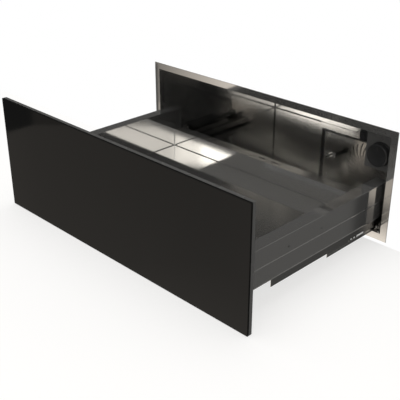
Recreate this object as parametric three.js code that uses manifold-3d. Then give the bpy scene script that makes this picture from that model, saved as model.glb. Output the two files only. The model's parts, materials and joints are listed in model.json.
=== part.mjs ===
// Built-in warming drawer, 30 inch class, shown pulled open. Millimetres, +Z up.
// X runs across the front, Y from the room into the cabinet, Z up from the niche shelf.
// The origin is the centre of the casing's underside, where it stands on the shelf.
import * as THREE from "three";
import { mergeVertices } from "three/addons/utils/BufferGeometryUtils.js";
import Module from "manifold-3d";

const wasm = await Module();
wasm.setup();

// ---------------------------------------------------------------- driving dimensions
const FIT = 0.3; // gap between two pieces that touch
const SHEET = 1; // liner, tray and casing sheet

const CASE_WIDTH = 727;
const CASE_HEIGHT = 249;
const CASE_UPSTAND = 12; // folded edge of the base and the top
const SIDE_VENTS = 5; // slots low down at the back of each casing side
const SIDE_VENT_LENGTH = 50;
const BACK_VENTS = 6; // rows of slots on each half of the casing back
const BACK_VENT_LENGTH = 120;
const BACK_VENT_X = 200;
const BACK_VENT_LOW = 150;
const CASE_VENT_PITCH = 12;
const CASE_VENT_HEIGHT = 4;
const INLET_X = -250; // appliance inlet, from the middle of the back
const INLET_Z = 60;
const INLET_WIDTH = 48;
const INLET_HEIGHT = 28;
const INLET_DEPTH = 26;
const INLET_BEZEL = 4;
const INLET_BEZEL_THICK = 2;
const SOCKET_WIDTH = 28; // socket mouth in the inlet, with three flat pins
const SOCKET_HEIGHT = 18;
const SOCKET_DEPTH = 16;
const PIN_PITCH = 7;
const PIN_WIDTH = 2;
const PIN_HEIGHT = 5;
const PIN_LENGTH = 12;

const FLANGE_SHEET = 1.5;
const FLANGE_BORDER = 16; // polished face round the opening
const FLANGE_SIDE_LAP = 7; // flange past the casing, left and right
const FLANGE_END_LAP = 3; // flange past the casing, above and below
const FLANGE_RETURN = 15; // lip folded back into the opening
const FLANGE_HEM = 1.5; // outer side edges folded back flat; they rest on the cabinet walls

const LINER_FLOOR = 9; // top of the cavity floor above the shelf
const LINER_ROOF_GAP = 1.5; // cavity ceiling above the flange's lip
const LINER_DEPTH = 490.6; // clear depth of the cavity
const WOOL_BACK = 26; // insulation behind the cavity
const SERVICE_DEPTH = 68.4; // room behind the cavity for the fan, its motor and the inlet

const FRONT_WIDTH = 759;
const FRONT_HEIGHT = 266;
const FRONT_DROP = 10.4; // front panel below the shelf
const GLASS_THICK = 4;
const GLASS_CHAMFER = 0.5;
const FRONT_FRAME_THICK = 7.7;
const FRONT_SHEET = 1.2;
const RIB_X = 150; // stiffening ribs inside the panel
const RIB_WIDTH = 20;
const RIB_MARGIN = 30; // rib ends short of the panel's edges
const SHUT_GAP = 2.6; // panel back to flange face when shut
const FULL_OPEN_MARGIN = 1; // stroke past the depth of the tray

const TRAY_WIDTH = 630; // clear width between the mirror walls
const REAR_CLEAR = 1.8; // shut drawer to the back of the cavity
const TRAY_FLOOR = 26.6; // top of the tray floor above the shelf
const TRAY_SETBACK = 18; // tray front wall behind the panel
const SIDE_HEADROOM = 111.4; // rim of the drawer sides below the cavity ceiling
const SIDE_BOTTOM = 47.6;
const SIDE_THICK = 29; // hollow side, from mirror wall to outer skin
const BEAD_DROP = 41; // pressed bead along the outer skin, below the rim
const BEAD_RADIUS = 0.9;
const RIM_RADIUS = 1.2;
const BRACKET_SHEET = 2;
const BRACKET_LENGTH = 40;
const BRACKET_INSET = 2; // bracket clear of the mirror wall
const BRACKET_MARGIN = 8; // bracket short of the rim and the web
const SIDE_HOLE_RADIUS = 1.8;
const SIDE_HOLE_DROP = 27.6; // holes below the rim
const SIDE_HOLE_SETBACKS = [140, 242];
const LEDGE_TOP = 73.6; // rear ledge of the drawer, lower than the sides
const LEDGE_DEPTH = 28;
const LEDGE_FOLD = 24;
const VENT_LENGTH = 21;
const VENT_WIDTH = 5;
const VENT_PITCH = 41;
const VENT_START = -12; // first vent from the middle of the ledge
const VENT_COUNT = 2;
const SEAM_WIDTH = 2; // slit across the ledge beside the vents
const SEAM_OFFSET = 48;

const HEATER_WIDTH = 560;
const HEATER_MARGIN = 31; // heater short of the tray, front and back
const HEATER_THICK = 1.6;
const BASE_PAN_MARGIN = 6; // base pan inside the tray outline
const BASE_PAN_DEEP = 8;

const RUNNER_SHEET = 1.2;
const RUNNER_WIDTH = 23.2; // outside of the two channels
const RUNNER_CORE = 16; // outside of the middle profile
const RUNNER_SETBACK = 92; // drawer rail tip behind the panel
const DRAWER_RAIL_OVERHANG = 4; // drawer rail past the tray
const DRAWER_RAIL_HEIGHT = 16;
const MIDDLE_RAIL_GAP = 31; // middle rail to the back of the cavity when shut
const MIDDLE_RAIL_FRONT = 48.9; // tip behind the flange face when shut
const PUNCHED_HOLES = [76, 90]; // round holes behind the tip of the middle profile
const PUNCHED_SLOT = 112.5;
const PUNCHED_SLOT_LENGTH = 23;
const PUNCHED_HEIGHT = 4;
const PUNCHED_LIFT = 9.5;
const MIDDLE_RAIL_FOOT = 18.4; // underside of the middle profile
const FIXED_RAIL_GAP = 147.4; // fixed rail and wall angle to the back of the cavity
const FIXED_RAIL_HEIGHT = 14.5;
const FIXED_RAIL_FRONT = 12.4; // behind the flange face
const BALL_RADIUS = 1.5;
const BALL_PLAY = 0.2; // ball to race
const BALL_PITCH = 24;
const BALL_SIDES = 6; // facets round and along a ball
const BALL_RINGS = 4;
const CAGE_LENGTH = 176;
const CAGE_SHEET = 0.6;
const CAGE_CLEAR = 0.5; // cage strip to the profiles above and below it
const BALL_INSET = 6; // ball rows from the edges of the middle profile
const ANGLE_HEIGHT = 22.5; // wall angle that carries the fixed rail
const ANGLE_SLOTS = 5;
const ANGLE_SLOT_LENGTH = 34;
const ANGLE_SLOT_HEIGHT = 5;
const ANGLE_SLOT_LIFT = 16.5;
const ANGLE_CLEAR = 2; // angle's front end behind the flange's lip
const EAR_SETBACKS = [105, 241, 288]; // screwed ears of the wall angle, behind the flange face
const EAR_WIDTH = 24;
const EAR_RISE = 16; // ear above the angle's leg
const EAR_CORNER = 5;
const EAR_HOLE_RADIUS = 2.2;

const FAN_HEIGHT = 109; // fan axis above the shelf
const BAFFLE_WIDTH = 310;
const BAFFLE_HEIGHT = 161.4;
const BAFFLE_GAP = 12; // air slot round the baffle
const GRILLE_RADIUS = 75;
const GRILLE_HUB = 26;
const GRILLE_SLOTS = 24;
const GRILLE_SWEEP = 0.55; // turn of each slot from hub to rim, radians
const GRILLE_SLOT_HUB = 2.2; // slot width at the hub and at the rim
const GRILLE_SLOT_RIM = 5;
const SWEPT_STEPS = 5; // straight steps along a swept edge
const FAN_CHAMBER_DEPTH = 39;
const CHAMBER_MARGIN = 15; // fan chamber wider than the baffle, each side
const POST_RADIUS = 4;
const POST_SPREAD_X = 140;
const POST_SPREAD_Z = 64;
const IMPELLER_RADIUS = 58;
const IMPELLER_EYE = 34;
const IMPELLER_WIDTH = 22;
const IMPELLER_BLADES = 18;
const IMPELLER_SWEEP = -0.55; // the blades lean against the grille's slots
const IMPELLER_HUB = 11;
const FAN_SHAFT_RADIUS = 4;
const SHAFT_HOLE_PLAY = 3; // hole in the chamber's back, round the shaft
const IMPELLER_GAP = 8; // impeller behind the chamber's front
const RING_RADIUS = 71;
const RING_TUBE = 3.2;
const RING_LEG_X = 12; // the heater's two cold ends, from the middle
const RING_LEG_RADIUS = 2.2;
const MOTOR_RADIUS = 34;
const MOTOR_LENGTH = 23;
const MOTOR_END = 5; // solid end of the motor behind the shaft
const SENSOR_RADIUS = 3;
const SENSOR_REACH = 22; // probe into the cavity
const SENSOR_X = 250;
const SENSOR_Z = 200;

const CONTROL_WIDTH = 69;
const CONTROL_HEIGHT = 89;
const CONTROL_DEPTH = 52;
const CONTROL_RECESS = 17.4; // plate behind the flange face
const CONTROL_SHEET = 1.2;
const THERMOSTAT_SIZE = 36;
const THERMOSTAT_DEPTH = 26;
const THERMOSTAT_BORE = 18; // depth of the bore that takes the knob's stem
const KNOB_RADIUS = 25;
const KNOB_DEPTH = 17.1;
const KNOB_EDGE = 2.4; // rounding of the knob's face
const KNOB_SKIRT = 1.6; // skirt proud of the grip
const KNOB_SKIRT_DEPTH = 4;
const KNOB_INSET_X = 31; // knob axis from the plate's outer edge
const KNOB_INSET_Z = 51.1; // knob axis from the plate's top
const KNOB_STEM_RADIUS = 3;
const KNOB_STEM_LENGTH = 13;
const STEM_HOLE_PLAY = 1; // hole in the plate, round the stem
const POINTER_WIDTH = 2; // groove in the knob's face
const POINTER_DEPTH = 0.8;
const POINTER_START = 11; // inner end of the groove, from the axis
const SWITCH_WIDTH = 17;
const SWITCH_HEIGHT = 34;
const SWITCH_DEPTH = 20;
const SWITCH_NOSE = 2; // sensing nose proud of the switch
const SWITCH_NOSE_MARGIN = 4;

const CATCH_WIDTH = 36;
const CATCH_LENGTH = 60;
const CATCH_HEIGHT = 7.4;
const CATCH_ROOF = 0.7;
const CATCH_SETBACK = 300; // catch body behind the flange face
const PLUNGER_WIDTH = 8;
const PLUNGER_HEIGHT = 3.4;
const PLUNGER_REACH = 12; // tip ahead of the catch body
const PLUNGER_TAIL = 26; // plunger inside the catch body
const PLUNGER_TRAVEL = 8;
const STRIKER_GAP = 0.5; // striker to plunger when shut
const STRIKER_WIDTH = 20;
const STRIKER_LENGTH = 14;
const STRIKER_LOW = 0.45; // striker above the flange's lower lip
const BUMPER_RADIUS = 5;
const BUMPER_HEIGHT = 190;
const BUMPER_INSET = 17; // from the panel's side edge

// ---------------------------------------------------------------- worked-out places
const CASE_HALF = CASE_WIDTH / 2;
const CASE_INNER = CASE_HALF - SHEET - FIT;
const OPENING_HALF = CASE_HALF + FLANGE_SIDE_LAP - FLANGE_BORDER;
const OPENING_LOW = FLANGE_BORDER - FLANGE_END_LAP;
const OPENING_HIGH = CASE_HEIGHT + FLANGE_END_LAP - FLANGE_BORDER;
const CASE_FRONT = FLANGE_SHEET + FIT;
const CASE_DEPTH = LINER_DEPTH + SERVICE_DEPTH; // behind the flange
const CASE_BACK = CASE_FRONT + CASE_DEPTH;
const LINER_HALF = OPENING_HALF + FLANGE_SHEET + FIT;
const LINER_HEIGHT = OPENING_HIGH + FLANGE_SHEET + LINER_ROOF_GAP - LINER_FLOOR; // clear height
const LINER_TOP = LINER_FLOOR + LINER_HEIGHT;
const LINER_BACK = CASE_FRONT + LINER_DEPTH;
const CHAMBER_FRONT = LINER_BACK + SHEET + FIT;
const KNOB_X = LINER_HALF - FIT - KNOB_INSET_X;
const KNOB_Z = LINER_TOP - FIT - KNOB_INSET_Z;
const TRAY_DEPTH = LINER_BACK - REAR_CLEAR - SHUT_GAP - LEDGE_DEPTH - TRAY_SETBACK; // clear depth
const HEATER_DEPTH = TRAY_DEPTH - 2 * HEATER_MARGIN;
const TRAVEL = TRAY_DEPTH + FULL_OPEN_MARGIN; // full stroke of the drawer
const TRAY_HALF = TRAY_WIDTH / 2;
const SIDE_HALF = TRAY_HALF + SIDE_THICK;
const SIDE_TOP = LINER_TOP - SIDE_HEADROOM;
const BEAD_HEIGHT = SIDE_TOP - BEAD_DROP;
const SIDE_HOLE_HEIGHT = SIDE_TOP - SIDE_HOLE_DROP;
const TRAY_REAR = TRAY_SETBACK + TRAY_DEPTH;
const DRAWER_REAR = TRAY_REAR + LEDGE_DEPTH;
const RUNNER_X = SIDE_HALF - FIT - RUNNER_WIDTH / 2;
const CHANNEL_IN = RUNNER_WIDTH / 2 - RUNNER_SHEET;
const BALL_X = (CHANNEL_IN + RUNNER_CORE / 2) / 2;
const DRAWER_RAIL_LENGTH = TRAY_REAR + DRAWER_RAIL_OVERHANG - RUNNER_SETBACK;
const MIDDLE_RAIL_LENGTH = LINER_BACK - MIDDLE_RAIL_GAP - MIDDLE_RAIL_FRONT;
const FIXED_RAIL_REAR = LINER_BACK - FIXED_RAIL_GAP;
const DRAWER_RAIL_TOP = SIDE_BOTTOM - FIT;
const WEB_TO_MIDDLE = RUNNER_SHEET + 2 * CAGE_CLEAR + CAGE_SHEET;
const MIDDLE_RAIL_TOP = DRAWER_RAIL_TOP - WEB_TO_MIDDLE;
const FIXED_RAIL_FOOT = MIDDLE_RAIL_FOOT - WEB_TO_MIDDLE;
const UPPER_BALL_Z = MIDDLE_RAIL_TOP - BALL_INSET;
const LOWER_BALL_Z = MIDDLE_RAIL_FOOT + BALL_INSET;
const BASE_PAN_LOW = TRAY_FLOOR - SHEET - FIT - BASE_PAN_DEEP;
const OPEN_SHIFT = -(TRAVEL + SHUT_GAP); // panel back from the flange face

// ---------------------------------------------------------------- finishes
const finish = (color, roughness, metalness) =>
  new THREE.MeshStandardMaterial({ color, roughness, metalness });
const MIRROR_STEEL = finish(0xb9b7b2, 0.08, 1);
const SATIN_STEEL = finish(0x8c8a86, 0.35, 1);
const GALVANISED = finish(0x9da0a2, 0.5, 0.8);
const DARK_STEEL = finish(0x4d4c4a, 0.3, 0.8);
const RUNNER_STEEL = finish(0xbcbbb8, 0.25, 1);
const BLACK_GLASS = finish(0x111110, 0.06, 0);
const BLACK_PLASTIC = finish(0x1c1c1c, 0.45, 0);
const GREY_PLASTIC = finish(0x2f2e2d, 0.5, 0);
const WOOL = finish(0xd8d0b8, 0.95, 0);
const RUBBER = finish(0x161616, 0.8, 0);
const HEATER_FOIL = finish(0xa85b2a, 0.6, 0);
const MOTOR_STEEL = finish(0x6f7173, 0.4, 0.9);

// ---------------------------------------------------------------- geometry helpers
function toSolid(geometry) {
  const bare = geometry.clone();
  bare.deleteAttribute("normal");
  bare.deleteAttribute("uv");
  const merged = mergeVertices(bare, 1e-4);
  return new wasm.Manifold(
    new wasm.Mesh({
      numProp: 3,
      vertProperties: new Float32Array(merged.attributes.position.array),
      triVerts: new Uint32Array(merged.index.array),
    }),
  );
}

function toGeometry(solid) {
  const mesh = solid.getMesh();
  const geometry = new THREE.BufferGeometry();
  const positions = new Float32Array(mesh.vertProperties);
  geometry.setAttribute("position", new THREE.BufferAttribute(positions, 3));
  geometry.setIndex(new THREE.BufferAttribute(new Uint32Array(mesh.triVerts), 1));
  geometry.computeVertexNormals();
  return geometry;
}

const join = (...pieces) => toGeometry(pieces.map(toSolid).reduce((a, b) => a.add(b)));
const cut = (body, ...tools) =>
  toGeometry(tools.map(toSolid).reduce((a, b) => a.subtract(b), toSolid(body)));

// A block between two corners.
function block(x0, x1, y0, y1, z0, z1) {
  const geometry = new THREE.BoxGeometry(x1 - x0, y1 - y0, z1 - z0);
  return geometry.translate((x0 + x1) / 2, (y0 + y1) / 2, (z0 + z1) / 2);
}

const outline = (points) => new THREE.Shape(points.map(([u, v]) => new THREE.Vector2(u, v)));

function rectangle(u0, u1, v0, v1) {
  return outline([[u0, v0], [u1, v0], [u1, v1], [u0, v1]]);
}

// A section drawn in X and Z, run along Y.
function alongY(shape, y0, y1, curveSegments = 4) {
  const options = { depth: y1 - y0, bevelEnabled: false, curveSegments };
  return new THREE.ExtrudeGeometry(shape, options).rotateX(Math.PI / 2).translate(0, y1, 0);
}

// A section drawn in Y and Z, run along X.
function alongX(shape, x0, x1, curveSegments = 4) {
  const options = { depth: x1 - x0, bevelEnabled: false, curveSegments };
  const geometry = new THREE.ExtrudeGeometry(shape, options);
  const turn = new THREE.Matrix4().makeBasis(
    new THREE.Vector3(0, 1, 0),
    new THREE.Vector3(0, 0, 1),
    new THREE.Vector3(1, 0, 0),
  );
  return geometry.applyMatrix4(turn).translate(x0, 0, 0);
}

// A plan drawn in X and Y, run up along Z.
function alongZ(shape, z0, z1, curveSegments = 4) {
  const options = { depth: z1 - z0, bevelEnabled: false, curveSegments };
  return new THREE.ExtrudeGeometry(shape, options).translate(0, 0, z0);
}

// A round bar along Y about the axis through (x, z).
function barY(radius, x, z, y0, y1, sides = 24) {
  const geometry = new THREE.CylinderGeometry(radius, radius, y1 - y0, sides);
  return geometry.translate(x, (y0 + y1) / 2, z);
}

// A round bar along X, for holes through the drawer sides and the rails.
function barX(radius, y, z, x0, x1, sides = 16) {
  const geometry = new THREE.CylinderGeometry(radius, radius, x1 - x0, sides);
  return geometry.rotateZ(Math.PI / 2).translate((x0 + x1) / 2, y, z);
}

// A turned part about the Y axis: profile points are [radius, y], from axis to axis.
function turned(profile, x, z, segments) {
  const points = profile.map(([radius, y]) => new THREE.Vector2(radius, y));
  return new THREE.LatheGeometry(points, segments).translate(x, 0, z);
}

// A rounded slot lying along one direction, as a hole path in a sheet's outline.
function slotPath(centreU, centreV, length, width) {
  const radius = width / 2;
  const reach = length / 2 - radius;
  const path = new THREE.Path();
  path.absarc(centreU + reach, centreV, radius, -Math.PI / 2, Math.PI / 2, false);
  path.absarc(centreU - reach, centreV, radius, Math.PI / 2, (3 * Math.PI) / 2, false);
  path.closePath();
  return path;
}

function roundPath(centreU, centreV, radius) {
  const path = new THREE.Path();
  path.absarc(centreU, centreV, radius, 0, 2 * Math.PI, true);
  return path;
}

// The edge of a sheet, one sheet thick, all round a rectangle.
function frameOutline(u0, u1, v0, v1, sheet) {
  const frame = rectangle(u0, u1, v0, v1);
  frame.holes.push(rectangle(u0 + sheet, u1 - sheet, v0 + sheet, v1 - sheet));
  return frame;
}

// Points of an arc in a section, from one angle to another about (u, v).
function arcPoints(u, v, radius, from, to, steps = 4) {
  return Array.from({ length: steps + 1 }, (_, i) => {
    const angle = from + ((to - from) * i) / steps;
    return [u + radius * Math.cos(angle), v + radius * Math.sin(angle)];
  });
}

// ---------------------------------------------------------------- the assembly
const part = new THREE.Group();
const chassis = new THREE.Group(); // Y from the flange's front face
chassis.position.y = -(CASE_FRONT + CASE_DEPTH / 2);
part.add(chassis);
const drawer = new THREE.Group(); // Y from the back of the front panel
drawer.position.y = OPEN_SHIFT;
chassis.add(drawer);

function add(group, name, geometry, material) {
  const mesh = new THREE.Mesh(geometry, material);
  mesh.name = name;
  group.add(mesh);
  return mesh;
}

// The right-hand piece, and the same piece mirrored for the left.
function addPair(group, name, geometry, material) {
  add(group, name + "_right", geometry, material);
  add(group, name + "_left", geometry, material).scale.x = -1;
}

// ---------------------------------------------------------------- casing and flange
function makeFlange() {
  const half = CASE_HALF + FLANGE_SIDE_LAP;
  const opening = rectangle(-OPENING_HALF, OPENING_HALF, OPENING_LOW, OPENING_HIGH);
  const face = rectangle(-half, half, -FLANGE_END_LAP, CASE_HEIGHT + FLANGE_END_LAP);
  face.holes.push(opening);
  const lip = frameOutline(
    -OPENING_HALF - FLANGE_SHEET,
    OPENING_HALF + FLANGE_SHEET,
    OPENING_LOW - FLANGE_SHEET,
    OPENING_HIGH + FLANGE_SHEET,
    FLANGE_SHEET,
  );
  const hem = block(
    CASE_HALF + FIT, half, 0, FLANGE_SHEET + FLANGE_HEM, -FLANGE_END_LAP, CASE_HEIGHT + FLANGE_END_LAP);
  return join(
    alongY(face, 0, FLANGE_SHEET),
    alongY(lip, 0, FLANGE_RETURN),
    hem,
    hem.clone().translate(-CASE_HALF - FIT - half, 0, 0),
  );
}

// Base or top sheet, with its two long edges folded inside the casing sides.
function makeCasingLid(z, lift) {
  const level = (rise) => [Math.min(z, z + lift * rise), Math.max(z, z + lift * rise)];
  const sheet = block(-CASE_HALF, CASE_HALF, CASE_FRONT, CASE_BACK, ...level(SHEET));
  const fold = block(
    CASE_INNER - SHEET, CASE_INNER, CASE_FRONT, CASE_BACK - SHEET - FIT, ...level(CASE_UPSTAND));
  return join(sheet, fold, fold.clone().translate(SHEET - 2 * CASE_INNER, 0, 0));
}

function makeCasingSide() {
  const side = rectangle(CASE_FRONT, CASE_BACK, SHEET + FIT, CASE_HEIGHT - SHEET - FIT);
  const y = CASE_BACK - SIDE_VENT_LENGTH;
  for (let i = 0; i < SIDE_VENTS; i += 1) {
    const z = CASE_HEIGHT / 2 + (i - (SIDE_VENTS - 1) / 2) * CASE_VENT_PITCH;
    side.holes.push(slotPath(y, z, SIDE_VENT_LENGTH, CASE_VENT_HEIGHT));
  }
  return alongX(side, CASE_HALF - SHEET, CASE_HALF);
}

function makeCasingBack() {
  const sheet = rectangle(-CASE_INNER, CASE_INNER, SHEET + FIT, CASE_HEIGHT - SHEET - FIT);
  for (const x of [-BACK_VENT_X, BACK_VENT_X]) {
    for (let i = 0; i < BACK_VENTS; i += 1) {
      const z = BACK_VENT_LOW + i * CASE_VENT_PITCH;
      sheet.holes.push(slotPath(x, z, BACK_VENT_LENGTH, CASE_VENT_HEIGHT));
    }
  }
  const halfWidth = INLET_WIDTH / 2;
  const halfHeight = INLET_HEIGHT / 2;
  sheet.holes.push(rectangle(
    INLET_X - halfWidth, INLET_X + halfWidth, INLET_Z - halfHeight, INLET_Z + halfHeight));
  return alongY(sheet, CASE_BACK - SHEET, CASE_BACK);
}

// A block round the inlet's axis, from y0 to y1.
function inletBlock(width, height, y0, y1, offset = 0) {
  return block(
    INLET_X + offset - width / 2, INLET_X + offset + width / 2,
    y0, y1, INLET_Z - height / 2, INLET_Z + height / 2);
}

// Appliance inlet: a flanged moulding with a three-pin socket, seated in the casing back.
function makeInlet() {
  const width = INLET_WIDTH - 2 * FIT;
  const height = INLET_HEIGHT - 2 * FIT;
  const body = inletBlock(width, height, CASE_BACK - INLET_DEPTH, CASE_BACK + SHEET);
  const bezel = inletBlock(
    width + 2 * INLET_BEZEL, height + 2 * INLET_BEZEL,
    CASE_BACK + FIT, CASE_BACK + INLET_BEZEL_THICK);
  const socketBack = CASE_BACK - SOCKET_DEPTH;
  const socket = inletBlock(
    SOCKET_WIDTH, SOCKET_HEIGHT, socketBack, CASE_BACK + INLET_BEZEL_THICK + SHEET);
  const pins = [-PIN_PITCH, 0, PIN_PITCH].map((offset) =>
    inletBlock(PIN_WIDTH, PIN_HEIGHT, socketBack - SHEET, socketBack + PIN_LENGTH, offset));
  return join(cut(join(body, bezel), socket), ...pins);
}

function addCasing() {
  add(chassis, "front_flange", makeFlange(), MIRROR_STEEL);
  add(chassis, "casing_base", makeCasingLid(0, 1), GALVANISED);
  add(chassis, "casing_top", makeCasingLid(CASE_HEIGHT, -1), GALVANISED);
  addPair(chassis, "casing_side", makeCasingSide(), GALVANISED);
  add(chassis, "casing_back", makeCasingBack(), GALVANISED);
  add(chassis, "mains_inlet", makeInlet(), BLACK_PLASTIC);
  const terminalFront = LINER_BACK + SHEET + FIT + WOOL_BACK + FIT;
  const terminalBack = CASE_BACK - INLET_DEPTH - FIT;
  const terminal = inletBlock(INLET_WIDTH, INLET_HEIGHT, terminalFront, terminalBack);
  add(chassis, "terminal_block", terminal, GREY_PLASTIC);
}

// ---------------------------------------------------------------- cavity liner
function makeLinerBack() {
  const half = LINER_HALF - FIT;
  const wall = rectangle(-half, half, LINER_FLOOR + FIT, LINER_TOP - FIT);
  wall.holes.push(fanWindow(BAFFLE_GAP));
  wall.holes.push(roundPath(SENSOR_X, SENSOR_Z, SENSOR_RADIUS + FIT));
  return alongY(wall, LINER_BACK, LINER_BACK + SHEET);
}

// Rectangle round the fan, wider than the baffle by a margin on every side.
function fanWindow(margin) {
  const halfWidth = BAFFLE_WIDTH / 2 + margin;
  const halfHeight = BAFFLE_HEIGHT / 2 + margin;
  return rectangle(-halfWidth, halfWidth, FAN_HEIGHT - halfHeight, FAN_HEIGHT + halfHeight);
}

function makeWoolBack() {
  const half = LINER_HALF - FIT;
  const batt = rectangle(-half, half, LINER_FLOOR + FIT, LINER_TOP - FIT);
  batt.holes.push(fanWindow(CHAMBER_MARGIN + SHEET + FIT));
  batt.holes.push(roundPath(SENSOR_X, SENSOR_Z, SENSOR_RADIUS + FIT));
  return alongY(batt, CHAMBER_FRONT, CHAMBER_FRONT + WOOL_BACK);
}

function makeSensor() {
  const probe = barY(
    SENSOR_RADIUS, SENSOR_X, SENSOR_Z, LINER_BACK - SENSOR_REACH, CHAMBER_FRONT + WOOL_BACK, 12);
  const collar = barY(
    2 * SENSOR_RADIUS, SENSOR_X, SENSOR_Z, LINER_BACK - FIT - SHEET, LINER_BACK - FIT, 12);
  return join(probe, collar);
}

function addLiner() {
  const half = LINER_HALF - FIT;
  const back = LINER_BACK + SHEET;
  const floorLow = LINER_FLOOR - SHEET;
  const roofHigh = LINER_TOP + SHEET;
  add(chassis, "liner_floor",
    block(-half, half, CASE_FRONT, back, floorLow, LINER_FLOOR), MIRROR_STEEL);
  add(chassis, "liner_ceiling",
    block(-half, half, CASE_FRONT, back, LINER_TOP, roofHigh), SATIN_STEEL);
  addPair(chassis, "liner_side",
    block(LINER_HALF, LINER_HALF + SHEET, CASE_FRONT, back, floorLow, roofHigh), MIRROR_STEEL);
  add(chassis, "liner_back", makeLinerBack(), MIRROR_STEEL);
  add(chassis, "temperature_sensor", makeSensor(), SATIN_STEEL);

  const woolHalf = CASE_INNER - SHEET - FIT;
  add(chassis, "insulation_floor",
    block(-woolHalf, woolHalf, CASE_FRONT, back, SHEET + FIT, floorLow - FIT), WOOL);
  add(chassis, "insulation_top",
    block(-woolHalf, woolHalf, CASE_FRONT, back, roofHigh + FIT, CASE_HEIGHT - SHEET - FIT),
    WOOL);
  addPair(chassis, "insulation_side",
    block(LINER_HALF + SHEET + FIT, woolHalf, CASE_FRONT, back, floorLow, roofHigh), WOOL);
  add(chassis, "insulation_back", makeWoolBack(), WOOL);
}

// ---------------------------------------------------------------- fan and heater
// One curved slit of the swirl grille, or one impeller blade, between two radii.
function sweptBand(start, sweep, innerRadius, outerRadius, innerWidth, outerWidth) {
  const edge = (side) =>
    Array.from({ length: SWEPT_STEPS + 1 }, (_, i) => {
      const t = i / SWEPT_STEPS;
      const radius = innerRadius + (outerRadius - innerRadius) * t;
      const width = innerWidth + (outerWidth - innerWidth) * t;
      const angle = start + sweep * t + (side * width) / 2 / radius;
      return [radius * Math.cos(angle), FAN_HEIGHT + radius * Math.sin(angle)];
    });
  return outline([...edge(-1), ...edge(1).reverse()]);
}

// The four screw posts that carry the baffle.
const postPlaces = () =>
  [-1, 1].flatMap((sideX) =>
    [-1, 1].map((sideZ) => [sideX * POST_SPREAD_X, FAN_HEIGHT + sideZ * POST_SPREAD_Z]));

function makeBaffle() {
  const plate = fanWindow(0);
  for (let i = 0; i < GRILLE_SLOTS; i += 1) {
    const start = (2 * Math.PI * i) / GRILLE_SLOTS;
    plate.holes.push(sweptBand(
      start, GRILLE_SWEEP, GRILLE_HUB, GRILLE_RADIUS, GRILLE_SLOT_HUB, GRILLE_SLOT_RIM));
  }
  const heads = postPlaces().map(([x, z]) =>
    barY(POST_RADIUS, x, z, LINER_BACK - SHEET, LINER_BACK + SHEET / 2, 12));
  return join(alongY(plate, LINER_BACK, LINER_BACK + SHEET), ...heads);
}

function makeFanHousing() {
  const back = CHAMBER_FRONT + FAN_CHAMBER_DEPTH;
  const walls = fanWindow(CHAMBER_MARGIN + SHEET);
  walls.holes.push(fanWindow(CHAMBER_MARGIN));
  const plate = fanWindow(CHAMBER_MARGIN + SHEET);
  plate.holes.push(roundPath(0, FAN_HEIGHT, FAN_SHAFT_RADIUS + SHAFT_HOLE_PLAY));
  const posts = postPlaces().map(([x, z]) =>
    barY(POST_RADIUS, x, z, CHAMBER_FRONT, back - SHEET / 2, 10));
  return join(alongY(walls, CHAMBER_FRONT, back), alongY(plate, back - SHEET, back), ...posts);
}

function makeImpeller() {
  const front = CHAMBER_FRONT + IMPELLER_GAP;
  const discFront = front + IMPELLER_WIDTH;
  const bladeRoot = discFront + SHEET / 2;
  const disc = barY(IMPELLER_RADIUS, 0, FAN_HEIGHT, discFront, discFront + SHEET, 40);
  const hub = barY(IMPELLER_HUB, 0, FAN_HEIGHT, front + SHEET, discFront + SHEET, 20);
  const blades = Array.from({ length: IMPELLER_BLADES }, (_, i) => {
    const start = (2 * Math.PI * i) / IMPELLER_BLADES;
    const blade = sweptBand(
      start, IMPELLER_SWEEP, IMPELLER_EYE, IMPELLER_RADIUS - SHEET, SHEET, SHEET);
    return alongY(blade, front, bladeRoot);
  });
  const bore = barY(
    FAN_SHAFT_RADIUS + FIT, 0, FAN_HEIGHT, front, discFront + 2 * SHEET, 16);
  return cut(join(disc, hub, ...blades), bore);
}

function makeRingHeater() {
  const y = CHAMBER_FRONT + IMPELLER_GAP + IMPELLER_WIDTH / 2;
  const ring = new THREE.TorusGeometry(RING_RADIUS, RING_TUBE, 6, 40)
    .rotateX(Math.PI / 2)
    .translate(0, y, FAN_HEIGHT);
  const legZ = FAN_HEIGHT - Math.sqrt(RING_RADIUS ** 2 - RING_LEG_X ** 2);
  const legEnd = CHAMBER_FRONT + FAN_CHAMBER_DEPTH - SHEET - FIT;
  const legs = [-RING_LEG_X, RING_LEG_X].map((x) => barY(RING_LEG_RADIUS, x, legZ, y, legEnd, 8));
  return join(ring, ...legs);
}

function addFan() {
  const housingBack = CHAMBER_FRONT + FAN_CHAMBER_DEPTH;
  const motorFront = housingBack + FIT;
  const boreBack = motorFront + MOTOR_LENGTH - MOTOR_END;
  const motor = cut(
    barY(MOTOR_RADIUS, 0, FAN_HEIGHT, motorFront, motorFront + MOTOR_LENGTH, 32),
    barY(FAN_SHAFT_RADIUS + FIT, 0, FAN_HEIGHT, motorFront - SHEET, boreBack, 16));
  const shaft = barY(
    FAN_SHAFT_RADIUS, 0, FAN_HEIGHT, CHAMBER_FRONT + IMPELLER_GAP, boreBack - FIT, 16);
  add(chassis, "fan_baffle", makeBaffle(), MIRROR_STEEL);
  add(chassis, "fan_housing", makeFanHousing(), GALVANISED);
  add(chassis, "ring_heater", makeRingHeater(), SATIN_STEEL);
  add(chassis, "fan_motor", motor, MOTOR_STEEL);
  add(chassis, "fan_impeller", makeImpeller(), SATIN_STEEL);
  add(chassis, "fan_shaft", shaft, SATIN_STEEL);
}

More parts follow.
